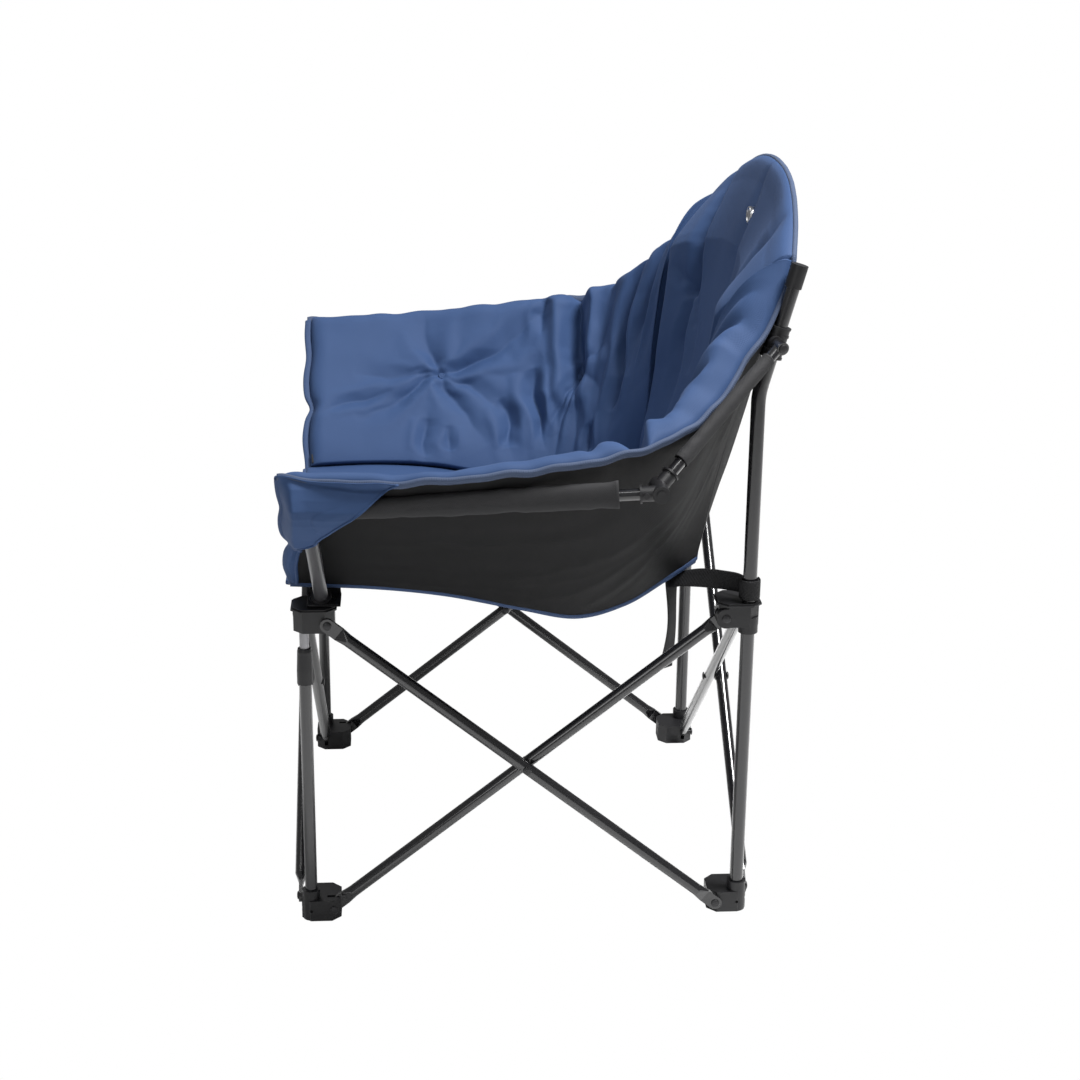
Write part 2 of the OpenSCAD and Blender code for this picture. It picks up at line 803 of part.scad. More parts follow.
// Surface of the back: u runs from the right to the left, v from the seat to the top
back_squareness = 3.2;
back_bow = 20;
function back_top(u) =
    let (w = 2 * u - 1, fall = pow(abs(w), back_squareness))
    [w * rim_back_x, back_top_y + (rim_back_y - back_top_y) * fall,
     back_top_z + (rim_back_z - back_top_z) * fall];
function back_low(u) =
    let (w = 2 * u - 1)
    [w * seat_rear_x, seat_rear_y + back_bow * (1 - w * w), seat_rear_z];
function back_point(u, v) =
    let (low = back_low(u), high = back_top(u), w = 2 * u - 1)
    low + (high - low) * v + [0, back_bow * sin(180 * v) * (1 - w * w), 0];

// Surface of the seat: u runs from the right to the left, v from the front to the rear
seat_dip = 16;
function seat_point(u, v) =
    let (left = smooth_at(side_hem, v), w = 2 * u - 1,
         mid_y = left[1] + back_bow * (1 - w * w) * v * v)
    [w * left[0], mid_y, left[2] - seat_dip * (1 - w * w) * sin(180 * v)];

// Unit normal of a surface, on the side of the cross product of its two directions
probe = 0.004;
function unit(v) = v / norm(v);
function surface_normal(f, u, v) =
    let (u0 = max(u - probe, 0), u1 = min(u + probe, 1), v0 = max(v - probe, 0), v1 = min(v + probe, 1))
    unit(cross(f(u1, v) - f(u0, v), f(u, v1) - f(u, v0)));

// Closed sheet or pad over a surface: near and far give the distance of its two faces
// along the normal, and nu and nv the number of fields
module skin(f, near, far, nu, nv, from_u, to_u, from_v, to_v) {
    su = [for (i = [0:nu]) from_u + (to_u - from_u) * i / nu];
    sv = [for (j = [0:nv]) from_v + (to_v - from_v) * j / nv];
    near_points = [for (u = su, v = sv) f(u, v) + surface_normal(f, u, v) * near(u, v)];
    far_points = [for (u = su, v = sv) f(u, v) + surface_normal(f, u, v) * far(u, v)];
    row = nv + 1;
    count = (nu + 1) * row;
    function at(i, j) = i * row + j;
    grid = [for (i = [0:nu - 1], j = [0:nv - 1]) [at(i, j), at(i + 1, j), at(i + 1, j + 1), at(i, j + 1)]];
    near_faces = [for (q = grid) each [[q[0], q[1], q[2]], [q[0], q[2], q[3]]]];
    far_faces = [for (q = grid) each [
        [q[2] + count, q[1] + count, q[0] + count],
        [q[3] + count, q[2] + count, q[0] + count]
    ]];
    edge = concat(
        [for (i = [0:nu - 1]) [at(i, 0), at(i + 1, 0)]],
        [for (j = [0:nv - 1]) [at(nu, j), at(nu, j + 1)]],
        [for (i = [nu:-1:1]) [at(i, nv), at(i - 1, nv)]],
        [for (j = [nv:-1:1]) [at(0, j), at(0, j - 1)]]
    );
    edge_faces = [for (e = edge) each [
        [e[1], e[0], e[0] + count],
        [e[1], e[0] + count, e[1] + count]
    ]];
    translate([0, origin_y, 0])
        polyhedron(concat(near_points, far_points), concat(near_faces, far_faces, edge_faces));
}

// Crown of a pad: full in the middle, drawn in at the edges, and pulled down at the tufts
edge_t = 3;
pad_softness = 0.5;
tuft_reach = 0.16;
function crown(u, v, full, tufts) =
    let (swell = pow(max(sin(180 * u), 0) * max(sin(180 * v), 0), pad_softness),
         pull = max([for (t = tufts) exp(-pow(norm([(u - t[0]) * t[2], v - t[1]]) / tuft_reach, 2))]))
    edge_t + (full - edge_t) * swell - min(tuft_depth, full - 2 * edge_t) * pull * swell;

// Share of a surface left free at a seam, so that two panels or two pads meet edge to edge
panel_seam = 0.0008;
pad_seam = 0.014;
function to_unit(x, a, b) = (x - a) / (b - a);

// Tufts as shares across and along a pad, with the pad's length over its height
arm_tufts = [[0.3, 0.5, 2], [0.56, 0.52, 2]];
back_tufts = [[0.24, 0.42, 1], [0.76, 0.42, 1]];
seat_tufts = [[0.3, 0.5, 1], [0.7, 0.5, 1]];

function shell_near(u, v) = shell_gap;
function shell_far(u, v) = shell_gap + shell_t;

module side_shell(sx) {
    fields_u = 22;
    fields_v = 10;
    color(shell_colour)
        mirror([sx < 0 ? 1 : 0, 0, 0])
            skin(function (u, v) side_point(u, v), function (u, v) shell_far(u, v),
                function (u, v) shell_near(u, v), fields_u, fields_v, 0, 1, 0, 1);
}

module back_shell() {
    fields_u = 18;
    fields_v = 13;
    color(shell_colour)
        skin(function (u, v) back_point(u, v), function (u, v) -shell_near(u, v),
            function (u, v) -shell_far(u, v), fields_u, fields_v, panel_seam, 1 - panel_seam, panel_seam, 1);
}

module seat_base() {
    fields_u = 18;
    fields_v = 13;
    color(shell_colour)
        skin(function (u, v) seat_point(u, v), function (u, v) -shell_near(u, v),
            function (u, v) -shell_far(u, v), fields_u, fields_v, panel_seam, 1 - panel_seam, 0, 1 - panel_seam);
}

module arm_pad(sx) {
    fields_u = 22;
    fields_v = 10;
    color(pad_colour)
        mirror([sx < 0 ? 1 : 0, 0, 0])
            skin(function (u, v) side_point(u, v), function (u, v) 0,
                function (u, v) -crown(to_unit(u, 0, 1 - pad_seam), to_unit(v, pad_seam, 1), arm_pad_t, arm_tufts),
                fields_u, fields_v, 0, 1 - pad_seam, pad_seam, 1);
}

module back_pad() {
    fields_u = 18;
    fields_v = 13;
    color(pad_colour)
        skin(function (u, v) back_point(u, v),
            function (u, v) crown(to_unit(u, pad_seam, 1 - pad_seam), to_unit(v, pad_seam, 1), back_pad_t, back_tufts),
            function (u, v) 0, fields_u, fields_v, pad_seam, 1 - pad_seam, pad_seam, 1);
}

module seat_pad() {
    fields_u = 18;
    fields_v = 13;
    color(pad_colour)
        skin(function (u, v) seat_point(u, v),
            function (u, v) crown(to_unit(u, pad_seam, 1 - pad_seam), to_unit(v, 0, 1 - pad_seam), seat_pad_t, seat_tufts),
            function (u, v) 0, fields_u, fields_v, pad_seam, 1 - pad_seam, 0, 1 - pad_seam);
}

// Webbing loop round a rear pole, with its run to the seat's rear corner and its hanging tail
module rear_strap() {
    loop_gap = 0.4;
    loop_lift = 4;
    hem = 0.5;
    corner_out = 20;
    corner_front = 22;
    loop_z = hub_pivot_z + hub_rise + plate_t + loop_lift;
    loop_r = pole_d / 2 + loop_gap;
    start = [leg_axis - loop_r - strap_t / 2, leg_axis];
    run = [seat_rear_x + corner_out - start[0], seat_rear_y - corner_front - start[1]];
    run_length = norm(run);
    color(strap_colour)
        union() {
            difference() {
                translate([leg_axis, leg_axis, loop_z])
                    cylinder(r = loop_r + strap_t, h = strap_w);
                translate([leg_axis, leg_axis, loop_z - cut])
                    cylinder(r = loop_r, h = strap_w + 2 * cut);
            }
            translate([start[0], start[1], loop_z])
                rotate([0, 0, atan2(run[1], run[0])]) {
                    translate([0, -strap_t / 2, hem])
                        cube([run_length, strap_t, strap_w - 2 * hem]);
                    translate([run_length - strap_w, -strap_t / 2, strap_w - tail_length])
                        cube([strap_w, strap_t, tail_length - hem]);
                }
        }
}

at_corner(1, 1) foot(true, true, pole_d);  // left_rear_foot
at_corner(-1, 1) foot(true, false, pole_d);  // right_rear_foot
at_corner(1, -1) foot(false, true, leg_d);  // left_front_foot
at_corner(-1, -1) foot(false, false, leg_d);  // right_front_foot
at_corner(1, 1) rivets(foot_pivot_z, true, true);  // left_rear_foot_rivets
at_corner(-1, 1) rivets(foot_pivot_z, true, false);  // right_rear_foot_rivets
at_corner(1, -1) rivets(foot_pivot_z, false, true);  // left_front_foot_rivets
at_corner(-1, -1) rivets(foot_pivot_z, false, false);  // right_front_foot_rivets
at_corner(1, 1) rear_pole();  // left_rear_pole
at_corner(-1, 1) rear_pole();  // right_rear_pole
at_corner(1, 1) pole_cap();  // left_pole_cap
at_corner(-1, 1) pole_cap();  // right_pole_cap
at_corner(1, 1) rail_bracket();  // left_rail_bracket
at_corner(-1, 1) rail_bracket();  // right_rail_bracket
at_corner(1, -1) front_leg();  // left_front_leg
at_corner(-1, -1) front_leg();  // right_front_leg
at_corner(1, -1) leg_collar();  // left_leg_collar
at_corner(-1, -1) leg_collar();  // right_leg_collar
at_corner(1, -1) inner_rod();  // left_inner_rod
at_corner(-1, -1) inner_rod();  // right_inner_rod
at_corner(1, -1) front_hub(true, false);  // left_front_hub
at_corner(-1, -1) front_hub(true, true);  // right_front_hub
at_corner(1, 1) rear_hub(false, false);  // left_rear_hub
at_corner(-1, 1) rear_hub(false, true);  // right_rear_hub
at_corner(1, -1) rivets(hub_pivot_z, true, false);  // left_front_hub_rivets
at_corner(-1, -1) rivets(hub_pivot_z, true, true);  // right_front_hub_rivets
at_corner(1, 1) rivets(hub_pivot_z, false, false);  // left_rear_hub_rivets
at_corner(-1, 1) rivets(hub_pivot_z, false, true);  // right_rear_hub_rivets
at_corner(1, -1) arm_post();  // left_arm_post
at_corner(-1, -1) arm_post();  // right_arm_post
placed_brace(0, 1, true);  // left_outer_brace
placed_brace(0, -1, false);  // left_inner_brace
placed_brace(2, -1, true);  // right_outer_brace
placed_brace(2, 1, false);  // right_inner_brace
placed_brace(3, 1, true);  // front_outer_brace
placed_brace(3, -1, false);  // front_inner_brace
placed_brace(1, -1, true);  // rear_outer_brace
placed_brace(1, 1, false);  // rear_inner_brace
cross_rivet(0);  // left_cross_rivet
cross_rivet(2);  // right_cross_rivet
cross_rivet(3);  // front_cross_rivet
cross_rivet(1);  // rear_cross_rivet
at_corner(1, -1) front_rail();  // left_front_rail
at_corner(-1, -1) front_rail();  // right_front_rail
at_corner(1, 1) rear_rail();  // left_rear_rail
at_corner(-1, 1) rear_rail();  // right_rear_rail
at_corner(1, -1) elbow_half(elbow_front, front_rail_way, 1);  // left_elbow_front
at_corner(-1, -1) elbow_half(elbow_front, front_rail_way, 1);  // right_elbow_front
at_corner(1, 1) elbow_half(elbow_rear, rear_rail_way, -1);  // left_elbow_rear
at_corner(-1, 1) elbow_half(elbow_rear, rear_rail_way, -1);  // right_elbow_rear
side_shell(1);  // left_side_shell
side_shell(-1);  // right_side_shell
back_shell();
seat_base();
arm_pad(1);  // left_arm_pad
arm_pad(-1);  // right_arm_pad
back_pad();
seat_pad();
at_corner(1, 1) rear_strap();  // left_rear_strap
at_corner(-1, 1) rear_strap();  // right_rear_strap
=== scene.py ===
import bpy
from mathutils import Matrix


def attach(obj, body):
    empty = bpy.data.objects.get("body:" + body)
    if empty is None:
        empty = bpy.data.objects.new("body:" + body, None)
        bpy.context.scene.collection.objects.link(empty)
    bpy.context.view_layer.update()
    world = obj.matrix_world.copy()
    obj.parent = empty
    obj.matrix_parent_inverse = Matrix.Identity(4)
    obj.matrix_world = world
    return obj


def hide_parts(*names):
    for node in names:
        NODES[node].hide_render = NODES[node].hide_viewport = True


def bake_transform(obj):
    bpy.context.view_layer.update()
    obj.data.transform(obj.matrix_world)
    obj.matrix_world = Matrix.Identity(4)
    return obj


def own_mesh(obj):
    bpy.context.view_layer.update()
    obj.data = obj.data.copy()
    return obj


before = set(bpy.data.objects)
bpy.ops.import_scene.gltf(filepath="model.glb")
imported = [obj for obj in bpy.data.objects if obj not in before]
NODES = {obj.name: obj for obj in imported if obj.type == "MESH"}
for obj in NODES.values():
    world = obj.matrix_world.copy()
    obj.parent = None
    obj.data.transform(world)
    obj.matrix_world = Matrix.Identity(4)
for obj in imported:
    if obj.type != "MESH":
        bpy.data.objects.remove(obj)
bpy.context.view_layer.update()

import math

import bpy
import numpy as np
from mathutils import Matrix, Vector

SIDES = ((1, "left"), (-1, "right"))
scene = bpy.context.scene

# Camera
CAM = (2.68011, -0.17043, 1.34631)
PITCH, YAW, ROLL, FOCAL = 0.32941, 0.06902, 0.01096, 2025.09
ahead = Vector((-math.cos(PITCH) * math.cos(YAW), math.cos(PITCH) * math.sin(YAW), -math.sin(PITCH)))
side = ahead.cross(Vector((0, 0, 1))).normalized()
above = side.cross(ahead)
right = side * math.cos(ROLL) + above * math.sin(ROLL)
up = above * math.cos(ROLL) - side * math.sin(ROLL)
camera_data = bpy.data.cameras.new("camera")
camera_data.sensor_width = 36
camera_data.lens = FOCAL / 1080 * 36
camera = bpy.data.objects.new("camera", camera_data)
scene.collection.objects.link(camera)
camera.matrix_world = Matrix.Translation(CAM) @ Matrix((right, up, -ahead)).transposed().to_4x4()
scene.camera = camera

# Fabric surfaces, in mm, as in part.scad
OY = -19.45
SQUARENESS, CORNER_DRAW = 2.4, 12.0
STEP = 0.004
RIM = np.array([(-302 + 624.6 * y, 652 + 225.4 * z, 414 - 152 * x) for y, z, x in zip(
    (0, .163, .323, .475, .611, .736, .835, .918, 1),
    (0, -.009, .018, .062, .111, .182, .311, .587, 1),
    (0, -.151, -.197, -.197, -.15, .026, .342, .711, 1))])[:, [2, 0, 1]]
HEM = np.array([(-302 + 524 * y, 459 + 11 * y - 52 * s, 245 - 40 * x) for y, s, x in zip(
    (0, .2, .38, .56, .7, .82, .92, 1),
    (0, .05, .25, .67, 1, .79, .35, 0),
    (0, -.32, -.5, -.5, -.32, -.02, .48, 1))])[:, [2, 0, 1]]


# The smooth curve through points, at a share of its way
def smooth_at(points, share):
    n = len(points) - 1
    place = np.clip(share, 0, 1) * n
    i = np.minimum(np.floor(place).astype(int), n - 1)
    f = (place - i)[..., None]
    a, b = points[np.maximum(i - 1, 0)], points[i]
    c, d = points[i + 1], points[np.minimum(i + 2, n)]
    return 0.5 * (2 * b + (c - a) * f + (2 * a - 5 * b + 4 * c - d) * f * f
                  + (3 * b - a - 3 * c + d) * f ** 3)


# The chair's left side: u from front to back, v from hem to rim
def side_point(u, v):
    u, v = np.broadcast_arrays(np.asarray(u, float), np.asarray(v, float))
    low, high = smooth_at(HEM, u), smooth_at(RIM, u)
    bulge = 6 * np.sin(np.pi * np.clip(u, 0, 1)) * np.sin(np.pi * np.clip(v, 0, 1))
    drawn = CORNER_DRAW * np.sin(np.pi * np.clip(v, 0, 1)) * np.clip(u, 0, 1) ** 5
    # The front edge waves and is pinched, the rim waves and reaches back near the corner
    pinch = 6.0 * np.exp(-((v - .40) / .05) ** 2)
    front = (2.0 * np.sin(17 * v + 1.3) + pinch) * np.exp(-u * 24) * np.clip(4 * (1 - v), 0, 1)
    reach = 8 * np.sin(np.pi * np.clip((u - .84) / .16, 0, 1)) * np.clip(v, 0, 1) ** 2
    ripple = 1.1 * (np.sin(61 * u + 0.6) + 0.7 * np.sin(97 * u))
    wave = ripple * np.clip(v, 0, 1) ** 6 * np.clip(8 * (1 - u), 0, 1)
    return low + (high - low) * v[..., None] + np.stack(
        [bulge - 0.3 * drawn, bulge * u - drawn + front + reach, wave - bulge * u], -1)


# The back: u from right to left, v upward
def back_point(u, v):
    u, v = np.broadcast_arrays(np.asarray(u, float), np.asarray(v, float))
    w = 2 * u - 1
    fall = np.abs(w) ** SQUARENESS
    top = np.stack([w * 262, 346 - 23.4 * fall, 957 - 79.6 * fall], -1)
    low = np.stack([w * 205, 222 + 20 * (1 - w * w), np.full_like(w, 470)], -1)
    rise = np.sin(np.pi * np.clip(v, 0, 1))
    bow = 20 * rise * (1 - w * w) - CORNER_DRAW * rise * np.abs(w) ** 5
    aside = -0.3 * CORNER_DRAW * rise * np.abs(w) ** 5 * np.sign(w)
    return low + (top - low) * v[..., None] + np.stack([aside, bow, 0 * bow], -1)


# The seat: u from right to left, v from front to back
def seat_point(u, v):
    u, v = np.broadcast_arrays(np.asarray(u, float), np.asarray(v, float))
    w = 2 * u - 1
    left = smooth_at(HEM, v)
    return np.stack([w * left[..., 0], left[..., 1] + 20 * (1 - w * w) * v * v,
                     left[..., 2] - 16 * (1 - w * w) * np.sin(np.pi * v)], -1)


def unit(v):
    v = np.asarray(v, float)
    return v / np.linalg.norm(v, axis=-1, keepdims=True)


# The surface's normal, turned over by inward = -1
def normal_of(f, u, v, inward):
    u0, u1 = np.maximum(u - STEP, 0), np.minimum(u + STEP, 1)
    v0, v1 = np.maximum(v - STEP, 0), np.minimum(v + STEP, 1)
    return unit(np.cross(f(u1, v) - f(u0, v), f(u, v1) - f(u, v0))) * inward


# Points, or a surface, on the left (1) or mirrored to the right (-1)
def flipped(a, sx):
    return a * np.array([sx, 1, 1])


def mirrored(f, sx):
    return lambda u, v: flipped(f(u, v), sx)


def grid_of(nu, nv, u_range, v_range):
    u = np.linspace(*u_range, nu)[:, None] * np.ones((1, nv))
    v = np.ones((nu, 1)) * np.linspace(*v_range, nv)[None]
    return u, v


def lengths(line):
    return np.concatenate([[0], np.cumsum(np.linalg.norm(np.diff(line, axis=0), axis=1))])


# From part.scad's mm to the frame's metres
def metres(p):
    return (np.asarray(p, float) + np.array([0, OY, 0])) / 1000


NOISE_CELLS = 64


# Smooth seeded noise over two lengths in mm
def noise(x, y, scale, seed):
    rng = np.random.default_rng(seed)
    table = rng.uniform(-1, 1, (NOISE_CELLS, NOISE_CELLS))
    gx, gy = x / scale, y / scale
    ix, iy = np.floor(gx).astype(int), np.floor(gy).astype(int)
    fx, fy = gx - ix, gy - iy
    fx, fy = fx * fx * (3 - 2 * fx), fy * fy * (3 - 2 * fy)
    t = lambda a, b: table[a % NOISE_CELLS, b % NOISE_CELLS]
    return ((t(ix, iy) * (1 - fx) + t(ix + 1, iy) * fx) * (1 - fy)
            + (t(ix, iy + 1) * (1 - fx) + t(ix + 1, iy + 1) * fx) * fy)


# Distance in mm from grid points to a line of points, with the share along the line
def along(x, y, line):
    best = np.full(x.shape, 1e9)
    share = np.zeros(x.shape)
    line = np.asarray(line, float)
    steps = np.linalg.norm(np.diff(line, axis=0), axis=1)
    total, done = steps.sum(), 0
    for a, b, length in zip(line[:-1], line[1:], steps):
        t = np.clip(((x - a[0]) * (b[0] - a[0]) + (y - a[1]) * (b[1] - a[1])) / length ** 2, 0, 1)
        d = np.hypot(x - a[0] - t * (b[0] - a[0]), y - a[1] - t * (b[1] - a[1]))
        near = d < best
        best = np.where(near, d, best)
        share = np.where(near, (done + t * length) / total, share)
        done += length
    return best, share


# Strength of a crease along its line: 1 fades from its start, 2 fades at both ends, 0 stays
def crease_strength(s, fade):
    if fade == 1:
        return (1 - s) ** 0.7 * (0.4 + 0.6 * np.clip(s / 0.2, 0, 1))
    if fade == 2:
        return np.sin(np.pi * np.clip(s, 0.02, 0.98)) ** 0.6
    return 1.0


# Creases: (points, depth, width, fade) with depth in mm, negative for a ridge
def creases(x, y, scale, listed, warp=5.0, lift=0.62):
    down, ridge = np.zeros(x.shape), np.zeros(x.shape)
    long, short = 34, 13
    wx = x + warp * noise(x, y, long, 301) + 0.4 * warp * noise(x, y, short, 303)
    wy = y + warp * noise(x, y, long, 302) + 0.4 * warp * noise(x, y, short, 304)
    for line, depth, width, fade in listed:
        pts = [(a * scale[0], b * scale[1]) for a, b in line]
        d, s = along(wx, wy, pts)
        strength = crease_strength(s, fade)
        wide = width * (0.5 + 1.3 * s) if fade == 1 else width
        valley = np.exp(-(d / (1.25 * wide)) ** 1.2)
        down += np.sign(depth) * (1.35 * abs(depth) * strength * valley) ** 3
        ridge += (depth * strength * lift * np.exp(-((d - 2.2 * wide) / (1.1 * wide)) ** 2)) ** 2
    return -np.cbrt(down) + np.sqrt(ridge)


# Mesh helpers
def new_mesh(name, points, faces, material):
    mesh = bpy.data.meshes.new(name)
    points = np.asarray(points, float).reshape(-1, 3)
    mesh.from_pydata([tuple(p) for p in points], [], [tuple(f) for f in faces])
    mesh.validate()
    mesh.update()
    obj = bpy.data.objects.new(name, mesh)
    scene.collection.objects.link(obj)
    mesh.materials.append(material)
    for p in mesh.polygons:
        p.use_smooth = True
    return obj


# The cloth's own coordinates, in m, for its weave
def lay_cloth(obj, flat):
    layer = obj.data.uv_layers.new(name="cloth")
    loops = np.zeros(len(obj.data.loops), int)
    obj.data.loops.foreach_get("vertex_index", loops)
    layer.data.foreach_set("uv", flat[loops].astype(np.float32).ravel())


# A closed sheet between two grids of points
def solid_grid(name, front, back, material, uv):
    nu, nv = front.shape[:2]
    count = nu * nv
    index = np.arange(count).reshape(nu, nv)
    a, b, c, d = index[:-1, :-1], index[1:, :-1], index[1:, 1:], index[:-1, 1:]
    quads = np.stack([a, b, c, d], -1).reshape(-1, 4)
    faces = [tuple(q) for q in quads] + [tuple(q[::-1] + count) for q in quads]
    ring = list(index[:, 0]) + list(index[-1, 1:]) + list(index[-2::-1, -1]) + list(index[0, -2:0:-1])
    for i in range(len(ring)):
        p, q = ring[i], ring[(i + 1) % len(ring)]
        faces.append((q, p, p + count, q + count))
    obj = new_mesh(name, np.concatenate([front.reshape(-1, 3), back.reshape(-1, 3)]), faces, material)
    lay_cloth(obj, np.concatenate([uv.reshape(-1, 2), uv.reshape(-1, 2)]))
    bpy.context.view_layer.update()
    return obj


# Quads between the rows of points of a tube, with both ends closed
def tube_faces(rows, sides):
    faces = []
    for i in range(rows - 1):
        for k in range(sides):
            m = (k + 1) % sides
            faces.append((i * sides + k, i * sides + m, (i + 1) * sides + m, (i + 1) * sides + k))
    last = (rows - 1) * sides
    return faces + [tuple(range(sides))[::-1], tuple(range(last, last + sides))]


# A band swept along a line: half_w across, half_t thick, rounded
def band(name, line, across, out, half_w, half_t, material, sides=12, power=0.6):
    angles = np.arange(sides) * 2 * math.pi / sides
    ca = np.sign(np.cos(angles)) * np.abs(np.cos(angles)) ** power
    sa = np.sign(np.sin(angles)) * np.abs(np.sin(angles)) ** power
    pts = line[:, None] + across[:, None] * (ca * half_w)[None, :, None] \
        + out[:, None] * (sa * half_t)[None, :, None]
    obj = new_mesh(name, pts.reshape(-1, 3), tube_faces(len(line), sides), material)
    length = lengths(line)
    lay_cloth(obj, np.stack(np.broadcast_arrays(length[:, None], (ca * half_w)[None]), -1).reshape(-1, 2))
    return obj


# Materials
def material(name, **shader):
    m = bpy.data.materials.new(name)
    m.use_nodes = True
    s = m.node_tree.nodes["Principled BSDF"]
    for key, value in shader.items():
        s.inputs[key.replace("_", " ")].default_value = value
    return m, m.node_tree, s


def link(tree, a, b):
    tree.links.new(a, b)


def node(tree, kind, **values):
    n = tree.nodes.new(kind)
    for key, value in values.items():
        if hasattr(n, key):
            setattr(n, key, value)
        else:
            n.inputs[key.replace("_", " ")].default_value = value
    return n


# A math node; each input is a number or the output of a node
def reckon(tree, operation, *inputs):
    n = node(tree, "ShaderNodeMath", operation=operation)
    for i, value in enumerate(inputs):
        if isinstance(value, float):
            n.inputs[i].default_value = value
        else:
            link(tree, value, n.inputs[i])
    return n.outputs[0]


def raise_bumps(tree, shader, height, strength, distance):
    bumps = node(tree, "ShaderNodeBump", Strength=strength, Distance=distance)
    link(tree, height, bumps.inputs["Height"])
    link(tree, bumps.outputs["Normal"], shader.inputs["Normal"])


def mixed(tree, factor, low, high):
    ramp = node(tree, "ShaderNodeValToRGB")
    ramp.color_ramp.elements[0].color = (*low, 1)
    ramp.color_ramp.elements[1].color = (*high, 1)
    link(tree, factor, ramp.inputs["Fac"])
    return ramp.outputs["Color"]


# Woven cloth: threads over and under, slubs, and a slow change of shade
def cloth(name, dark, light, thread=0.0009, rough=0.72, sheen=0.25, bump=0.22, gloss=0.32):
    m, tree, s = material(name, Sheen_Weight=sheen, Sheen_Roughness=0.45, Specular_IOR_Level=gloss,
                          Sheen_Tint=(*[min(1, c * 2.2 + 0.1) for c in light], 1))
    uv = node(tree, "ShaderNodeUVMap", uv_map="cloth")
    parts = node(tree, "ShaderNodeSeparateXYZ")
    link(tree, uv.outputs["UV"], parts.inputs[0])
    threads = [reckon(tree, "SINE", reckon(tree, "MULTIPLY", parts.outputs[axis], math.pi / thread))
               for axis in ("X", "Y")]
    weave = reckon(tree, "MULTIPLY", *threads)
    place = node(tree, "ShaderNodeTexCoord")
    slow = node(tree, "ShaderNodeTexNoise", Scale=9.0, Detail=3.0)
    fine = node(tree, "ShaderNodeTexNoise", Scale=900.0, Detail=2.0)
    for n in (slow, fine):
        link(tree, place.outputs["Object"], n.inputs["Vector"])
    slow, fine = slow.outputs["Fac"], fine.outputs["Fac"]
    both = reckon(tree, "MULTIPLY_ADD", fine, 0.35, reckon(tree, "MULTIPLY_ADD", weave, 0.09, 0.0))
    shade = reckon(tree, "MULTIPLY_ADD", slow, 0.55, both)
    link(tree, mixed(tree, shade, dark, light), s.inputs["Base Color"])
    link(tree, reckon(tree, "MULTIPLY_ADD", fine, 0.12, rough - 0.06), s.inputs["Roughness"])
    raise_bumps(tree, s, reckon(tree, "ADD", weave, fine), bump, 0.0003)
    return m


# Painted, moulded or bare hard surfaces: fine grain and a slow shade change
def hard(name, dark, light, rough, grain=0.0, grain_scale=900.0, metallic=0.0, coat=0.0,
         streak=False):
    m, tree, s = material(name, Metallic=metallic, Coat_Weight=coat, Coat_Roughness=0.12)
    place = node(tree, "ShaderNodeTexCoord")
    slow = node(tree, "ShaderNodeTexNoise", Scale=14.0, Detail=4.0)
    fine = node(tree, "ShaderNodeTexNoise", Scale=grain_scale, Detail=2.0)
    link(tree, place.outputs["Object"], slow.inputs["Vector"])
    if streak:
        stretch = node(tree, "ShaderNodeMapping")
        stretch.inputs["Scale"].default_value = (1, 1, 0.05)
        link(tree, place.outputs["Object"], stretch.inputs["Vector"])
        link(tree, stretch.outputs["Vector"], fine.inputs["Vector"])
    else:
        link(tree, place.outputs["Object"], fine.inputs["Vector"])
    link(tree, mixed(tree, slow.outputs["Fac"], dark, light), s.inputs["Base Color"])
    link(tree, reckon(tree, "MULTIPLY_ADD", slow.outputs["Fac"], 0.14, rough - 0.07), s.inputs["Roughness"])
    if grain:
        raise_bumps(tree, s, fine.outputs["Fac"], grain, 0.0004)
    return m


PAINT = hard("frame_paint", (0.009, 0.009, 0.0105), (0.015, 0.015, 0.017), 0.22, coat=1.0)
POST_PAINT = hard("post_paint", (0.05, 0.05, 0.055), (0.07, 0.07, 0.075), 0.34, metallic=0.1, coat=0.3)
PLASTIC = hard("moulded_plastic", (0.008, 0.008, 0.009), (0.016, 0.016, 0.018), 0.42, 0.12, 700)
STEEL = hard("rivet_steel", (0.42, 0.43, 0.45), (0.6, 0.6, 0.62), 0.3, 0.1, 900, 1.0)
RIVET = hard("rivet_dark", (0.03, 0.03, 0.032), (0.055, 0.055, 0.057), 0.36, 0.1, 900, 0.55)
ROD = hard("rod_steel", (0.2, 0.2, 0.21), (0.32, 0.32, 0.33), 0.28, 0.08, 900, 0.9, streak=True)
BLUE = cloth("blue_cloth", (0.023, 0.054, 0.143), (0.040, 0.083, 0.197), sheen=0.1)
BLUE_DARK = cloth("blue_piping", (0.03, 0.058, 0.135), (0.048, 0.085, 0.185), rough=0.7, sheen=0.2)
BINDING = cloth("binding_tape", (0.045, 0.066, 0.125), (0.072, 0.10, 0.17), thread=0.0014, bump=0.4)
SHELL = cloth("shell_cloth", (0.0035, 0.0035, 0.004), (0.0085, 0.0085, 0.0095),
              rough=0.62, sheen=0.0, bump=0.3, gloss=0.2)
SLEEVE = cloth("sleeve_cloth", (0.022, 0.022, 0.024), (0.042, 0.042, 0.044),
               thread=0.0012, rough=0.74, sheen=0.08, bump=0.45)
WEBBING = cloth("webbing", (0.006, 0.006, 0.007), (0.014, 0.014, 0.015),
                thread=0.0022, rough=0.66, sheen=0.1, bump=0.7)
RUBBER = hard("eyelet_rubber", (0.008, 0.008, 0.009), (0.016, 0.016, 0.018), 0.32, 0.05, 900)
GREY_THREAD = cloth("grey_thread", (0.10, 0.10, 0.105), (0.2, 0.2, 0.21), rough=0.6)
THREAD = cloth("thread", (0.10, 0.13, 0.2), (0.16, 0.2, 0.3), rough=0.6)

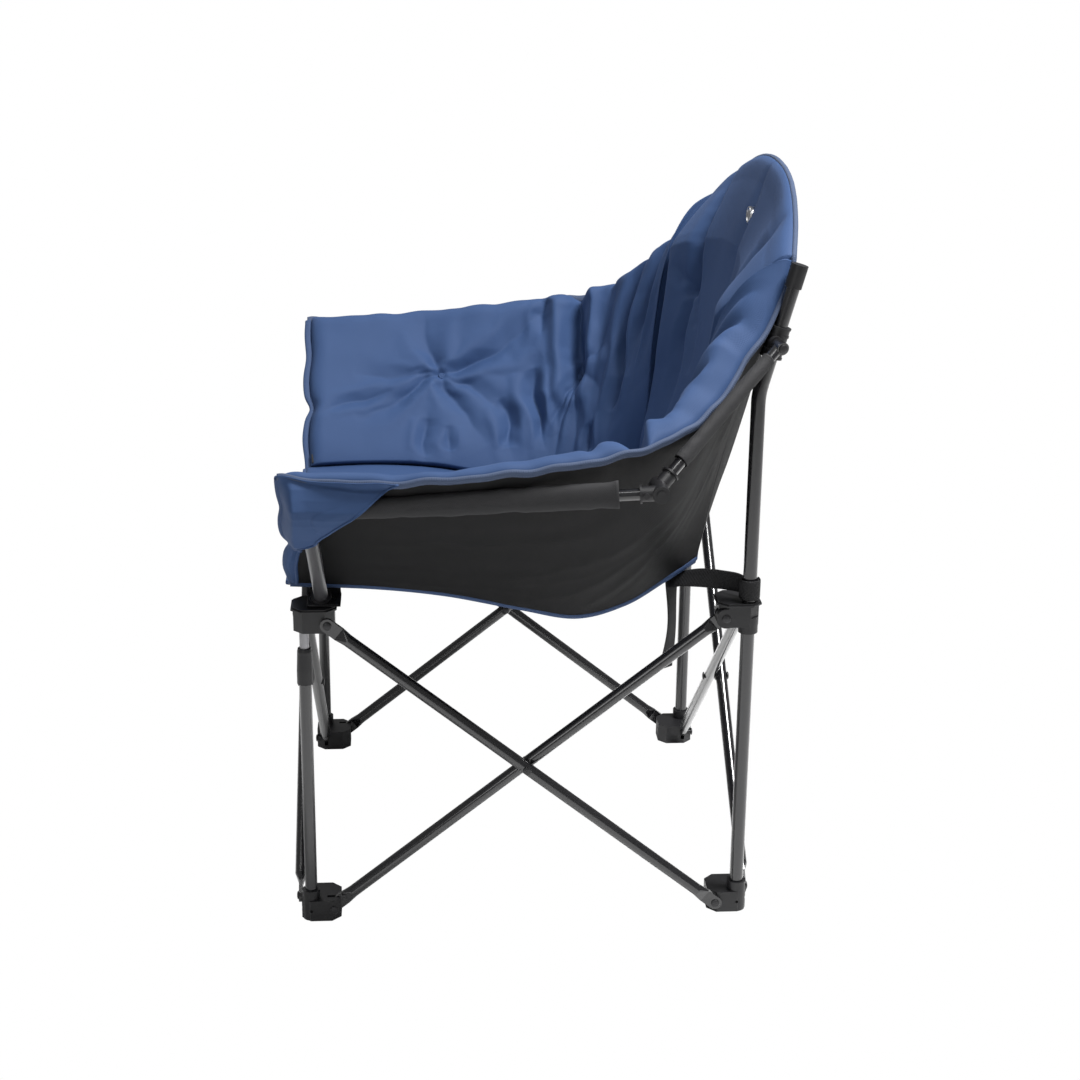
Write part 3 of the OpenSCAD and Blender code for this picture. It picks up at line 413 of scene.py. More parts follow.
for name, obj in NODES.items():
    if name.endswith(("pole", "leg", "brace", "rail")):
        chosen = PAINT
    elif name.endswith("post"):
        chosen = POST_PAINT
    elif name.endswith(("rivet", "rivets")):
        chosen = RIVET
    elif name.endswith("rod"):
        chosen = ROD
    else:
        chosen = PLASTIC
    obj.data.materials.clear()
    obj.data.materials.append(chosen)


# A quarter round: 0 at the border, 1 from radius inward
def rounded(distance, radius):
    t = np.clip(distance / radius, 0, 1)
    return np.sqrt(np.clip(1 - (1 - t) ** 2, 0, 1))


# A pad that stands height off a surface; over raises its front along v
def pad(name, f, inward, height, nu, nv, u_range, v_range, clip=None, over=None):
    lift = 0.2
    u, v = grid_of(nu, nv, u_range, v_range)
    base, n = f(u, v), normal_of(f, u, v, inward)
    length, tall = (np.linalg.norm(np.diff(base, axis=k), axis=-1).sum(k).mean() for k in (0, 1))
    front = base + n * height(u, v)[..., None]
    if over is not None:
        front = front + unit(f(u, v) - f(u, v - 0.02)) * over(u, v)[..., None]
    if clip is not None:
        front = clip(front)
    back = base + n * lift
    uv = np.stack([u * length, v * tall], -1) / 1000
    return solid_grid(name, metres(front), metres(back), BLUE, uv)


POINTS_AT_ONCE = 20000


# Keeps a pad on its side of the plane that halves the corner between two surfaces
def mitre(line, way_a, way_b, gap):
    def clip(points):
        flat = points.reshape(-1, 3)
        for start in range(0, len(flat), POINTS_AT_ONCE):
            part = flat[start:start + POINTS_AT_ONCE]
            near = ((part[:, None] - line[None]) ** 2).sum(-1).argmin(1)
            normal = unit(way_a[near] - way_b[near])
            reach = ((part - line[near]) * normal).sum(-1)
            over = np.maximum(gap - reach, 0)
            flat[start:start + POINTS_AT_ONCE] = part + normal * over[:, None]
        return flat.reshape(points.shape)
    return clip


# Sizes in mm; tufts by their share of both sizes
SIDE_SIZE, BACK_SIZE, SEAT_SIZE = (560.0, 215.0), (480.0, 480.0), (480.0, 530.0)
ARM_TUFTS = [(.27, .56), (.60, .58)]
BACK_TUFTS = [(.16, .60), (.84, .60)]
SEAT_TUFTS = [(.3, .5), (.7, .5)]
LEAST_HEIGHT, FRONT_SEAM = 1.2, 7


# Pits that the tufts pull into a pad
def tuft_pull(x, y, scale, tufts, depth, reach):
    total = np.zeros(x.shape)
    for a, b in tufts:
        d = np.hypot(x - a * scale[0], y - b * scale[1])
        total = np.maximum(total, np.exp(-(d / reach) ** 1.3))
    return -depth * total


ARM_CREASES = [
    ([(.27, .56), (.255, .66), (.235, .80), (.225, .97)], 7, 9, 1),
    ([(.27, .56), (.33, .64), (.38, .70), (.45, .80), (.52, .92)], 8, 9, 1),
    ([(.27, .56), (.21, .55), (.15, .56), (.09, .60)], 5, 7, 1),
    ([(.27, .56), (.21, .46), (.16, .38), (.09, .30)], 7, 8, 1),
    ([(.27, .56), (.29, .44), (.33, .30), (.38, .14)], 7, 9, 1),
    ([(.27, .56), (.33, .50), (.40, .36), (.46, .22)], 5, 8, 1),
    ([(.17, .48), (.11, .42), (.05, .36)], 4, 6, 2),
    ([(.27, .56), (.24, .70), (.17, .85)], 3, 8, 1),
    ([(.255, .28), (.25, .16), (.245, .05)], 5, 7, 2),
    ([(.29, .24), (.295, .10)], 4, 6, 2),
    ([(.60, .58), (.585, .72), (.575, .86), (.56, 1.0)], 17, 12, 0),
    ([(.60, .58), (.575, .45), (.545, .33), (.52, .18)], 11, 10, 1),
    ([(.60, .58), (.595, .42), (.58, .28), (.57, .10)], 9, 8, 1),
    ([(.60, .58), (.62, .42), (.64, .28), (.65, .10)], 8, 9, 1),
    ([(.47, .60), (.48, .46), (.51, .34), (.53, .22)], 10, 9, 2),
    ([(.40, .42), (.42, .30), (.44, .16)], 8, 8, 2),
    ([(.60, .58), (.66, .66), (.70, .80), (.72, .95)], 6, 10, 1),
    ([(.60, .58), (.67, .54), (.74, .44)], 6, 9, 1),
    ([(.80, .92), (.78, .74), (.80, .52), (.79, .30)], 10, 11, 2),
    ([(.88, .95), (.86, .70), (.84, .45)], 7, 10, 2),
    ([(.69, .30), (.70, .15)], 7, 9, 2),
    ([(.50, .98), (.48, .86), (.49, .74)], 5, 8, 2),
]


# Fuller where the liner spans the corner between an arm and the back
def corner_fill(distance, v):
    full = np.interp(v, [0, .35, .6, .78, .92, 1], [0, 4, 16, 26, 24, 18])
    return full * np.exp(-(distance / 95) ** 2)


# The groove between an arm and the back
def corner_groove(corner, edge):
    return 9 * (1 - rounded(corner, 36)) * edge


# Small gathers along a seam
def puckers(x, y, seed, size, depth):
    return depth * (1.7 * np.abs(noise(x, y * 0.35, size, seed)) ** 0.8 - 0.55)


def arm_height(mirror_seed):
    def height(u, v):
        x, y = u * SIDE_SIZE[0], v * SIDE_SIZE[1]
        below = (1 - v) * SIDE_SIZE[1]
        corner = (1 - u) * SIDE_SIZE[0]
        full = 20 + 16 * np.clip((u - 0.2) / 0.5, 0, 1) ** 1.2
        roll = 26 + 54 * np.clip((u - .7) / .3, 0, 1)
        edge = rounded(x - FRONT_SEAM, 18) * rounded(below, roll) * (0.5 + 0.5 * rounded(y, 70))
        body = (full + corner_fill(corner, v)) * edge
        body = body + 1.4 * creases(x, y, SIDE_SIZE, ARM_CREASES, 5.0, 0.5) * np.clip(body / 14, 0, 1)
        body = body + tuft_pull(x, y, SIDE_SIZE, ARM_TUFTS, 5, 22)
        body = body + (noise(x, y, 64, mirror_seed) * 3.4 + noise(x, y, 27, mirror_seed + 5) * 0.6) * edge
        gathered = np.exp(-(below / 44) ** 2) * np.clip((u - .38) / .3, 0, 1)
        body = body + puckers(x, y, mirror_seed + 9, 34, 9) * gathered * edge
        seam_wave = noise(x, 0 * y, 15, mirror_seed + 11) * 1.6
        body = body + np.exp(-(below / 16) ** 2) * seam_wave * rounded(x - FRONT_SEAM, 30)
        body = body - corner_groove(corner, edge)
        return np.maximum(body, LEAST_HEIGHT)
    return height


# The corner between arm and back, and the ways that lead from it
CORNER = np.linspace(0, 1, 80)
corner_side = side_point(1, CORNER)
arm_way = unit(side_point(.93, CORNER) - corner_side)
back_way = unit(back_point(.93, CORNER) - back_point(1, CORNER))


# The arms' roll above the rim, fuller towards the back
def arm_roll(u, v):
    full = np.interp(u, [0, .5, .74, .86, .95, 1], [9, 11, 34, 44, 27, 3])
    swell = np.sin(np.pi * np.clip((1 - v) / .28, 0, 1)) ** 0.75
    return full * swell * rounded(u * SIDE_SIZE[0] - FRONT_SEAM, 20)


arm_pads = {}
for name, sx, seed in (("left_arm_padding", 1, 11), ("right_arm_padding", -1, 23)):
    f = mirrored(side_point, sx)
    clip = mitre(flipped(corner_side, sx), flipped(arm_way, sx), flipped(back_way, sx), 0.5)
    arm_pads[sx] = pad(name, f, -sx, arm_height(seed), 280, 130, (0.013, 0.995), (0.016, 0.995),
                       clip, arm_roll)

BACK_CREASES = [
    ([(.5, 1.0), (.5, .90), (.49, .84), (.47, .72), (.46, .55)], 9, 15, 1),
    ([(.16, .60), (.155, .72), (.15, .86), (.13, .97)], 15, 9, 0),
    ([(.84, .60), (.845, .72), (.85, .86), (.87, .97)], 9, 10, 0),
    ([(.84, .60), (.76, .58), (.68, .60)], 6, 9, 1),
    ([(.16, .60), (.15, .45), (.18, .30), (.17, .12)], 11, 11, 1),
    ([(.84, .60), (.85, .45), (.82, .30), (.83, .12)], 9, 11, 1),
    ([(.16, .60), (.24, .48), (.30, .34)], 7, 10, 1),
    ([(.84, .60), (.76, .48), (.70, .34)], 7, 10, 1),
    ([(.16, .60), (.10, .64), (.04, .70)], 5, 8, 1),
    ([(.84, .60), (.90, .64), (.96, .70)], 5, 8, 1),
]


def back_height(u, v):
    x, y = u * BACK_SIZE[0], v * BACK_SIZE[1]
    below, corner = (1 - v) * BACK_SIZE[1], np.minimum(u, 1 - u) * BACK_SIZE[0]
    fill = corner_fill(corner, v)
    top_edge = 0.12 * rounded(below, 12) + 0.88 * np.clip(below / 120, 0, 1) ** 0.8
    edge = top_edge * (0.6 + 0.4 * rounded(y, 80))
    body = (42 + fill) * edge
    body = body + creases(x, y, BACK_SIZE, BACK_CREASES, 3, 0.12) * edge
    body = body + tuft_pull(x, y, BACK_SIZE, BACK_TUFTS, 8, 26)
    body = body + noise(x, y, 110, 31) * 3.0 * edge
    body = body - corner_groove(corner, edge)
    return np.maximum(body, LEAST_HEIGHT)


clip_left = mitre(corner_side, back_way, arm_way, 0.5)
clip_right = mitre(flipped(corner_side, -1), flipped(back_way, -1), flipped(arm_way, -1), 0.5)
back_padding = pad("back_padding", back_point, 1, back_height, 220, 200, (0.004, 0.996), (0.006, 0.997),
                   lambda p: clip_right(clip_left(p)),
                   lambda u, v: 4 * np.sin(np.pi * np.clip((v - .93) / .07, 0, 1)))

# Creases of one half, each followed by its like on the other half
def both_halves(listed):
    return [crease for line, *rest in listed
            for crease in ((line, *rest), ([(1 - a, b) for a, b in line], *rest))]


SEAT_CREASES = both_halves([
    ([(.3, .5), (.2, .62), (.08, .74)], 7, 12, 1),
    ([(.3, .5), (.2, .38), (.08, .26)], 7, 12, 1),
    ([(.3, .5), (.4, .3), (.42, .1)], 6, 12, 1),
    ([(.3, .5), (.42, .6), (.45, .9)], 6, 12, 1),
]) + [([(.3, .5), (.7, .5)], 5, 12, 2)]


def seat_height(u, v):
    x, y = u * SEAT_SIZE[0], v * SEAT_SIZE[1]
    near = np.sin(np.pi * np.clip(u, 0, 1)) * np.sin(np.pi * np.clip(v, 0, 1))
    edge = np.clip(near, 0, 1) ** 0.9
    body = 5 * rounded(y, 12) + 22 * edge + creases(x, y, SEAT_SIZE, SEAT_CREASES) * edge
    body = body + tuft_pull(x, y, SEAT_SIZE, SEAT_TUFTS, 9, 26)
    body = body + (noise(x, y, 60, 51) * 2.4 + noise(x, y, 25, 52) * 0.8) * edge
    return np.maximum(body, LEAST_HEIGHT)


seat_padding = pad("seat_padding", seat_point, 1, seat_height, 170, 170, (0.006, 0.994), (0.004, 0.994))

# Outer shell
SHELL_CREASES = [
    ([(.30, .10), (.55, .42), (.80, .62)], 3.0, 16, 2),
    ([(.22, .02), (.45, .22), (.70, .45), (.86, .70)], 2.6, 18, 2),
    ([(.42, .06), (.62, .30), (.78, .52)], 2.6, 14, 2),
    ([(.55, .05), (.72, .28), (.88, .52)], 3.0, 13, 2),
    ([(.66, .08), (.80, .30), (.94, .60)], 3.0, 12, 2),
    ([(.12, .45), (.35, .50), (.58, .56)], 2.0, 14, 2),
    ([(.60, .60), (.72, .50), (.84, .34)], 2.2, 10, 2),
    ([(.10, .06), (.30, .08), (.5, .16)], 2.2, 11, 2),
    ([(.90, .90), (.88, .60), (.93, .25)], 2.6, 10, 2),
    ([(.97, .80), (.95, .50), (.97, .20)], 2.4, 8, 2),
]


# One panel of the outer shell, with its creases turned outward
def shell(name, f, outward, nu, nv, u_range, v_range, size, listed, seed):
    u, v = grid_of(nu, nv, u_range, v_range)
    base, n = f(u, v), normal_of(f, u, v, outward)
    x, y = u * size[0], v * size[1]
    inside = 1
    for place, (first, last) in ((u, u_range), (v, v_range)):
        inside = inside * np.sin(np.pi * np.clip((place - first) / (last - first), 0, 1)) ** 0.4
    turned = [(line, -depth, width, fade) for line, depth, width, fade in listed]
    wave = 2.4 + creases(x, y, size, turned) * inside * 0.8
    wave = np.maximum(wave + noise(x, y, 40, seed) * inside, 0.6)
    outer = base + n * (wave + 0.9)[..., None]
    inner = base + n * 0.6
    uv = np.stack([x, y], -1) / 1000
    return solid_grid(name, metres(outer), metres(inner), SHELL, uv)


shells = {}
for name, sx, seed in (("left_side_cover", 1, 61), ("right_side_cover", -1, 67)):
    shells[sx] = shell(name, mirrored(side_point, sx), sx, 200, 90, (0, 1), (0, 1),
                       SIDE_SIZE, SHELL_CREASES, seed)
BACK_SHELL_CREASES = both_halves([
    ([(.1, .1), (.3, .4), (.5, .7)], 3, 16, 2),
    ([(.05, .5), (.25, .55), (.5, .5)], 3, 18, 2),
    ([(.2, .9), (.4, .8), (.5, .62)], 3, 14, 2),
])
SEAT_SHELL_CREASES = both_halves([([(.2, .1), (.5, .5), (.8, .9)], 3, 20, 2)])
back_cover = shell("back_cover", back_point, -1, 150, 150, (0.002, 0.998), (0.002, 1),
                   BACK_SIZE, BACK_SHELL_CREASES, 71)
seat_cover = shell("seat_cover", seat_point, -1, 120, 130, (0.002, 0.998), (0, 0.998),
                   SEAT_SIZE, SEAT_SHELL_CREASES, 73)


# Points along an edge of a surface, with the ways across and off it
def frame_along(f, u, v, inward, across_v=True):
    if across_v:
        across = unit(f(u, np.minimum(v + STEP, 1)) - f(u, v - 2 * STEP * (v > 0.5)))
    else:
        across = unit(f(np.minimum(u + STEP, 1), v) - f(u - 2 * STEP * (u > 0.5), v))
    return f(u, v), across, normal_of(f, u, v, inward)


# A tape along an edge; sizes: half width, half thickness, shift across and shift outward, in mm
def edge_band(name, f, u, v, inward, sizes, material, seed, across_v=True, ripple=0.5):
    half_w, half_t, shift, out_shift = sizes
    p, across, n = frame_along(f, u, v, inward, across_v)
    length = lengths(p)
    wobble = noise(length, 0 * length, 21, seed)[:, None] * ripple
    line = p + across * (shift + wobble * 0.6) + n * (out_shift + wobble * 0.4)
    tape = band(name, metres(line), across, n, half_w / 1000, half_t / 1000, material)
    return tape, line, across, n


# A row of stitches; offset goes across the line, lift off it, in mm
def stitches(name, line, across, out, offset, lift, pitch, material, size=0.45):
    length = lengths(line)
    places = np.arange(pitch, length[-1] - pitch, pitch)
    at = lambda a, s: np.stack([np.interp(s, length, a[:, k]) for k in range(3)], -1)
    pts, faces = [], []
    for s in places:
        for k, (d, r) in enumerate(((-0.36, 0.5), (-0.15, 1), (0.15, 1), (0.36, 0.5))):
            q = s + d * pitch
            c, ac, ou = at(line, q), unit(at(across, q)), unit(at(out, q))
            c = c + ac * offset + ou * (lift + (size * 0.5 if 0 < k < 3 else -size * 0.2))
            for g in range(5):
                a = g * 2 * math.pi / 5
                pts.append(c + ac * math.cos(a) * size * r + ou * math.sin(a) * size * r)
        b = len(pts) - 20
        for k in range(3):
            for g in range(5):
                h = (g + 1) % 5
                faces.append((b + 5 * k + g, b + 5 * k + h, b + 5 * k + 5 + h, b + 5 * k + 5 + g))
    obj = new_mesh(name, metres(pts), faces, material)
    obj.data.uv_layers.new(name="cloth")
    return obj


PITCH = 3.0


# Two rows of stitches on a rim's binding
def rim_rows(name, line, across, out, lift):
    return [stitches(name + "_rim_stitch_" + tag, line, across, out, offset, lift, PITCH, THREAD, 0.36)
            for tag, offset in (("a", -3.2), ("b", -1.4))]


side_trim = {1: [], -1: []}
for sx, label in SIDES:
    f = mirrored(side_point, sx)
    u = np.linspace(0.0, 1.0, 260)
    tape, line, ac, n = edge_band(label + "_rim_binding", f, u, np.ones(260), sx,
                                  (5.4, 3.1, -3.2, 0.6), BINDING, 5 + sx)
    side_trim[sx] += [tape] + rim_rows(label, line, ac, n, 2.75)
    v = np.linspace(0.0, 0.985, 90)
    side_trim[sx].append(edge_band(label + "_front_binding", f, np.zeros(90), v, sx,
                                   (5.0, 3.2, 1.5, 0.4), BLUE_DARK, 8 + sx, False)[0])
    hem, line, ac, n = edge_band(label + "_hem_binding", f, u, np.zeros(260), sx,
                                 (5.2, 3.8, -0.5, 0.8), BLUE_DARK, 15 + sx)
    side_trim[sx] += [hem, stitches(label + "_hem_stitch", line, ac, n, 2.4, 2.6, PITCH, THREAD, 0.3)]
u = np.linspace(0.0, 1.0, 200)
back_trim = []
tape, line, ac, n = edge_band("back_rim_binding", back_point, u, np.ones(200), -1,
                              (5.4, 3.3, -3.2, 0.2), BINDING, 21)
back_trim += [tape] + rim_rows("back", line, ac, n, 2.95)
for name, place, sizes, seed in (("front", 0.0, (4.6, 3.0, 0.0, 0.6), 22),
                                 ("rear", 1.0, (4.4, 2.8, 0.0, 1.0), 23)):
    back_trim.append(edge_band(f"seat_{name}_binding", seat_point, u, np.full(200, place), -1,
                               sizes, BLUE_DARK, seed)[0])
for sx, label in SIDES:
    u = np.linspace(0.015, 0.46, 120)
    side_trim[sx].append(edge_band(label + "_inner_strip", mirrored(side_point, sx), u,
                                   np.full(120, 0.055), -sx, (7.5, 1.2, 0.0, 9.5), SLEEVE, 31 + sx)[0])

# Rings of a tuft's button and of the plain plate: share of the radius, height in mm
BUTTON_RINGS = [(0.0, 3.3), (0.25, 3.3), (0.35, 2.7), (0.5, 2.8), (0.72, 3.6), (0.9, 3.3),
                (1.0, 2.2), (0.96, -0.8), (0.6, -2.0)]
PLATE_RINGS = [(0.0, 5.0), (0.4, 4.9), (0.74, 4.5), (0.78, 5.5), (0.84, 6.0), (0.94, 5.8),
               (1.0, 4.6), (1.0, -3.0)]


def button(name, f, inward, u, v, height, r, material, rings=BUTTON_RINGS, oval=1.0):
    p = f(np.array([u]), np.array([v]))[0]
    n = normal_of(f, np.array([u]), np.array([v]), inward)[0]
    h = float(height(np.array([[u]]), np.array([[v]]))[0, 0])
    a = unit(np.cross(n, [0, 0, 1]))
    b = np.cross(n, a)
    pts, sides = [], 28
    for rr, z in rings:
        for k in range(sides):
            t = k * 2 * math.pi / sides
            outward = a * math.cos(t) * oval + b * math.sin(t)
            pts.append(p + n * (h + z) + outward * max(rr, 0.02) * r)
    obj = new_mesh(name, metres(pts), tube_faces(len(rings), sides), material)
    obj.data.uv_layers.new(name="cloth")
    return obj


for sx, label, seed in ((1, "left", 11), (-1, "right", 23)):
    f = mirrored(side_point, sx)
    for i, (a, b) in enumerate(ARM_TUFTS):
        side_trim[sx].append(button(f"{label}_arm_button_{i}", f, -sx, a, b, arm_height(seed), 5.2, BLUE))
for i, (a, b) in enumerate(BACK_TUFTS):
    back_trim.append(button(f"back_button_{i}", back_point, 1, a, b, back_height, 5.6, BLUE))
back_trim.append(button("plain_plate", back_point, 1, .5, .845, back_height, 11.5, STEEL,
                        PLATE_RINGS, 1.3))
for i, (a, b) in enumerate(SEAT_TUFTS):
    back_trim.append(button(f"seat_button_{i}", seat_point, 1, a, b, seat_height, 5.6, BLUE))

# Rails: ends as in part.scad, then the sleeve's start and end on it, widths, thicknesses and seed
RAILS = {
    "front": ((420, -250, 610.0), (450.15, 143, 638.0), 16, 347, (12.5, 17.0), (8.6, 8.8), 81),
    "rear": ((310, 300.73, 778.0), (429.85, 143, 638.0), 22, -44, (9.0, 10.5), (8.4, 8.6), 91),
}


# A soft tube round a rail; wide and thick are half its height and half its depth at both ends, in mm
def sleeve(name, start, end, wide, thick, toward, seed, body):
    n, sides = 110, 36
    way = unit(end - start)
    out = unit(np.cross(way, [0, 0, 1.0]))
    if out[0] * toward < 0:
        out = -out
    upward = unit(np.cross(out, way))
    if upward[2] < 0:
        upward = -upward
    t = np.linspace(0, 1, n)
    length = np.linalg.norm(end - start)
    angles = np.arange(sides) * 2 * math.pi / sides
    pts = np.zeros((n, sides, 3))
    for k, a in enumerate(angles):
        c, s = math.cos(a), math.sin(a)
        w = np.interp(t, [0, 1], wide)
        reach = w * (1.0 if s > 0 else 0.92)
        fold = 1 + 0.07 * noise(t * length, np.full(n, a * 6), 26, seed) \
            + 0.05 * noise(t * length, np.full(n, a * 9), 11, seed + 1)
        ends = 1 + 0.03 * np.exp(-(np.minimum(t, 1 - t) * length / 6) ** 2)
        deep = np.interp(t, [0, 1], thick)
        pts[:, k] = start + way * (t * length)[:, None] \
            + upward * (np.sign(s) * abs(s) ** 0.9 * reach * fold * ends)[:, None] \
            + out * (c * deep * (1 + (fold - 1) * 0.5))[:, None]
    centre = start + way * (t * length)[:, None]
    inner = centre[:, None] + (pts - centre[:, None]) * 0.93
    index = np.arange(n * sides).reshape(n, sides)
    faces, count = [], n * sides
    for i in range(n - 1):
        for k in range(sides):
            m = (k + 1) % sides
            faces.append((index[i, k], index[i, m], index[i + 1, m], index[i + 1, k]))
            inside = (index[i + 1, k], index[i + 1, m], index[i, m], index[i, k])
            faces.append(tuple(corner + count for corner in inside))
    for k in range(sides):
        m = (k + 1) % sides
        faces.append((index[0, m], index[0, k], index[0, k] + count, index[0, m] + count))
        faces.append((index[-1, k], index[-1, m], index[-1, m] + count, index[-1, k] + count))
    both = np.concatenate([pts.reshape(-1, 3), inner.reshape(-1, 3)])
    obj = new_mesh(name, metres(both), faces, SLEEVE)
    girth = np.linalg.norm(np.diff(np.concatenate([pts[0], pts[0][:1]]), axis=0), axis=1).sum()
    round_way = (angles / 2 / math.pi * girth)[None]
    uv = np.stack(np.broadcast_arrays((t * length)[:, None], round_way), -1).reshape(-1, 2) / 1000
    lay_cloth(obj, np.concatenate([uv, uv]))
    sewn = []
    for j, d in enumerate((3.0, 6.0)):
        for tag, place in (("a", d), ("b", length - d)):
            i = int(np.clip(place / length * (n - 1), 0, n - 1))
            loop = np.concatenate([pts[i], pts[i][:1]])
            outward = unit(loop - centre[i])
            sewn.append(stitches(f"{name}_stitch_{tag}{j}", loop, np.tile(way, (len(loop), 1)), outward,
                                 0, 0.0, 2.4, SLEEVE, 0.32))
    for piece in [obj] + sewn:
        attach(piece, body)
    return obj, sewn


sleeves = []
for sx, label in SIDES:
    for rail, (a, b, first, last, wide, thick, seed) in RAILS.items():
        a, b = np.array(a), np.array(b)
        way = unit(b - a)
        if last < 0:
            last = np.linalg.norm(b - a) + last
        ends = flipped(a + way * first, sx), flipped(a + way * last, sx)
        sleeves.append(sleeve(f"{label}_{rail}_sleeve", *ends, wide, thick, sx, seed + sx,
                              f"{label}_{rail}_rail"))

WRAP_CREASES = [
    ([(.16, .96), (.09, .80), (.045, .62)], -1.6, 7, 2),
    ([(.02, .92), (.05, .74), (.05, .56)], 1.6, 8, 2),
    ([(.01, .55), (.02, .44), (.015, .25)], 1.8, 4, 2),
    ([(.12, .93), (.06, .82), (.02, .80)], 1.2, 8, 2),
]


# The corner wrap over an arm post: narrow below, flaring from flare up to the rim
def wrap(label, sx):
    nu, nv = 60, 130
    v = np.linspace(0.01, 1.0, nv)
    bend, flare, narrow, wide, full = 0.46, 0.52, 0.034, 0.062, 0.172
    low = np.where(v > bend, narrow + (wide - narrow) * (v - bend) / 0.06, 0.02 + 0.014 * v / bend)
    high = wide + (full - wide) * np.clip((v - flare) / 0.48, 0, 1) ** 1.35
    widest = np.where(v > flare, high, low)
    s = np.linspace(0, 1, nu)
    u = s[:, None] * widest[None]
    vv = np.ones((nu, 1)) * v[None]
    base = side_point(u, vv)
    n = normal_of(side_point, u, vv, 1)
    z = base[..., 2]
    # How far out the cloth stands over the post, by height
    reach = np.interp(z, [459, 500, 530, 554, 566, 580, 595, 606, 616, 628, 640, 653],
                      [0, 0, 330, 385, 397, 412, 427, 434, 436, 433, 428, 417])
    reach = reach + 80 * np.clip(u - 0.05, 0, 1) * (z > 560)
    rise = np.clip(u / 0.032, 0, 1)
    rise = rise * rise * (3 - 2 * rise)
    near = base[..., 0] + 4.0
    outer = base.copy()
    outer[..., 0] = np.where(reach > near, near + (reach - near) * rise, near)
    X, Y = u * SIDE_SIZE[0], vv * SIDE_SIZE[1]
    folds = creases(X, Y, SIDE_SIZE, WRAP_CREASES)
    thick = np.abs(folds) * 0.8 + noise(X, Y, 22, 41 + sx) * 0.9 + 0.9
    outer = outer + n * thick[..., None] * np.clip(u / 0.01, 0, 1)[..., None]
    inner = outer - n * 1.2
    outer, inner = flipped(outer, sx), flipped(inner, sx)
    uv = np.stack([X, Y], -1) / 1000
    obj = solid_grid(label + "_corner_wrap", metres(outer), metres(inner), BLUE, uv)
    edge = outer[-1]
    across = unit(outer[-1] - outer[-4])
    out = flipped(n, sx)[-1]
    trim = band(label + "_wrap_piping", metres(edge), across, out, 0.0022, 0.0018, BLUE, power=1.0)
    return obj, trim


wraps = {sx: wrap(label, sx) for sx, label in SIDES}


# A flat strap of webbing along a line
def ribbon(name, line, across, half_w, half_t):
    across = unit(across)
    out = unit(np.cross(np.gradient(line, axis=0), across))
    return band(name, metres(line), across, out, half_w / 1000, half_t / 1000, WEBBING, 10, 0.45)


def ring(name, centre, axis, big, small, material):
    sides, tube = 40, 10
    axis = unit(axis)
    a = unit(np.cross(axis, [1.0, 0.3, 0.2]))
    b = np.cross(axis, a)
    pts, faces = [], []
    for i in range(sides):
        t = i * 2 * math.pi / sides
        d = a * math.cos(t) + b * math.sin(t)
        for k in range(tube):
            g = k * 2 * math.pi / tube
            pts.append(centre + d * (big + small * math.cos(g)) + axis * small * 0.7 * math.sin(g))
    for i in range(sides):
        for k in range(tube):
            j, m = (i + 1) % sides, (k + 1) % tube
            faces.append((i * tube + k, j * tube + k, j * tube + m, i * tube + m))
    return new_mesh(name, metres(pts), faces, material)


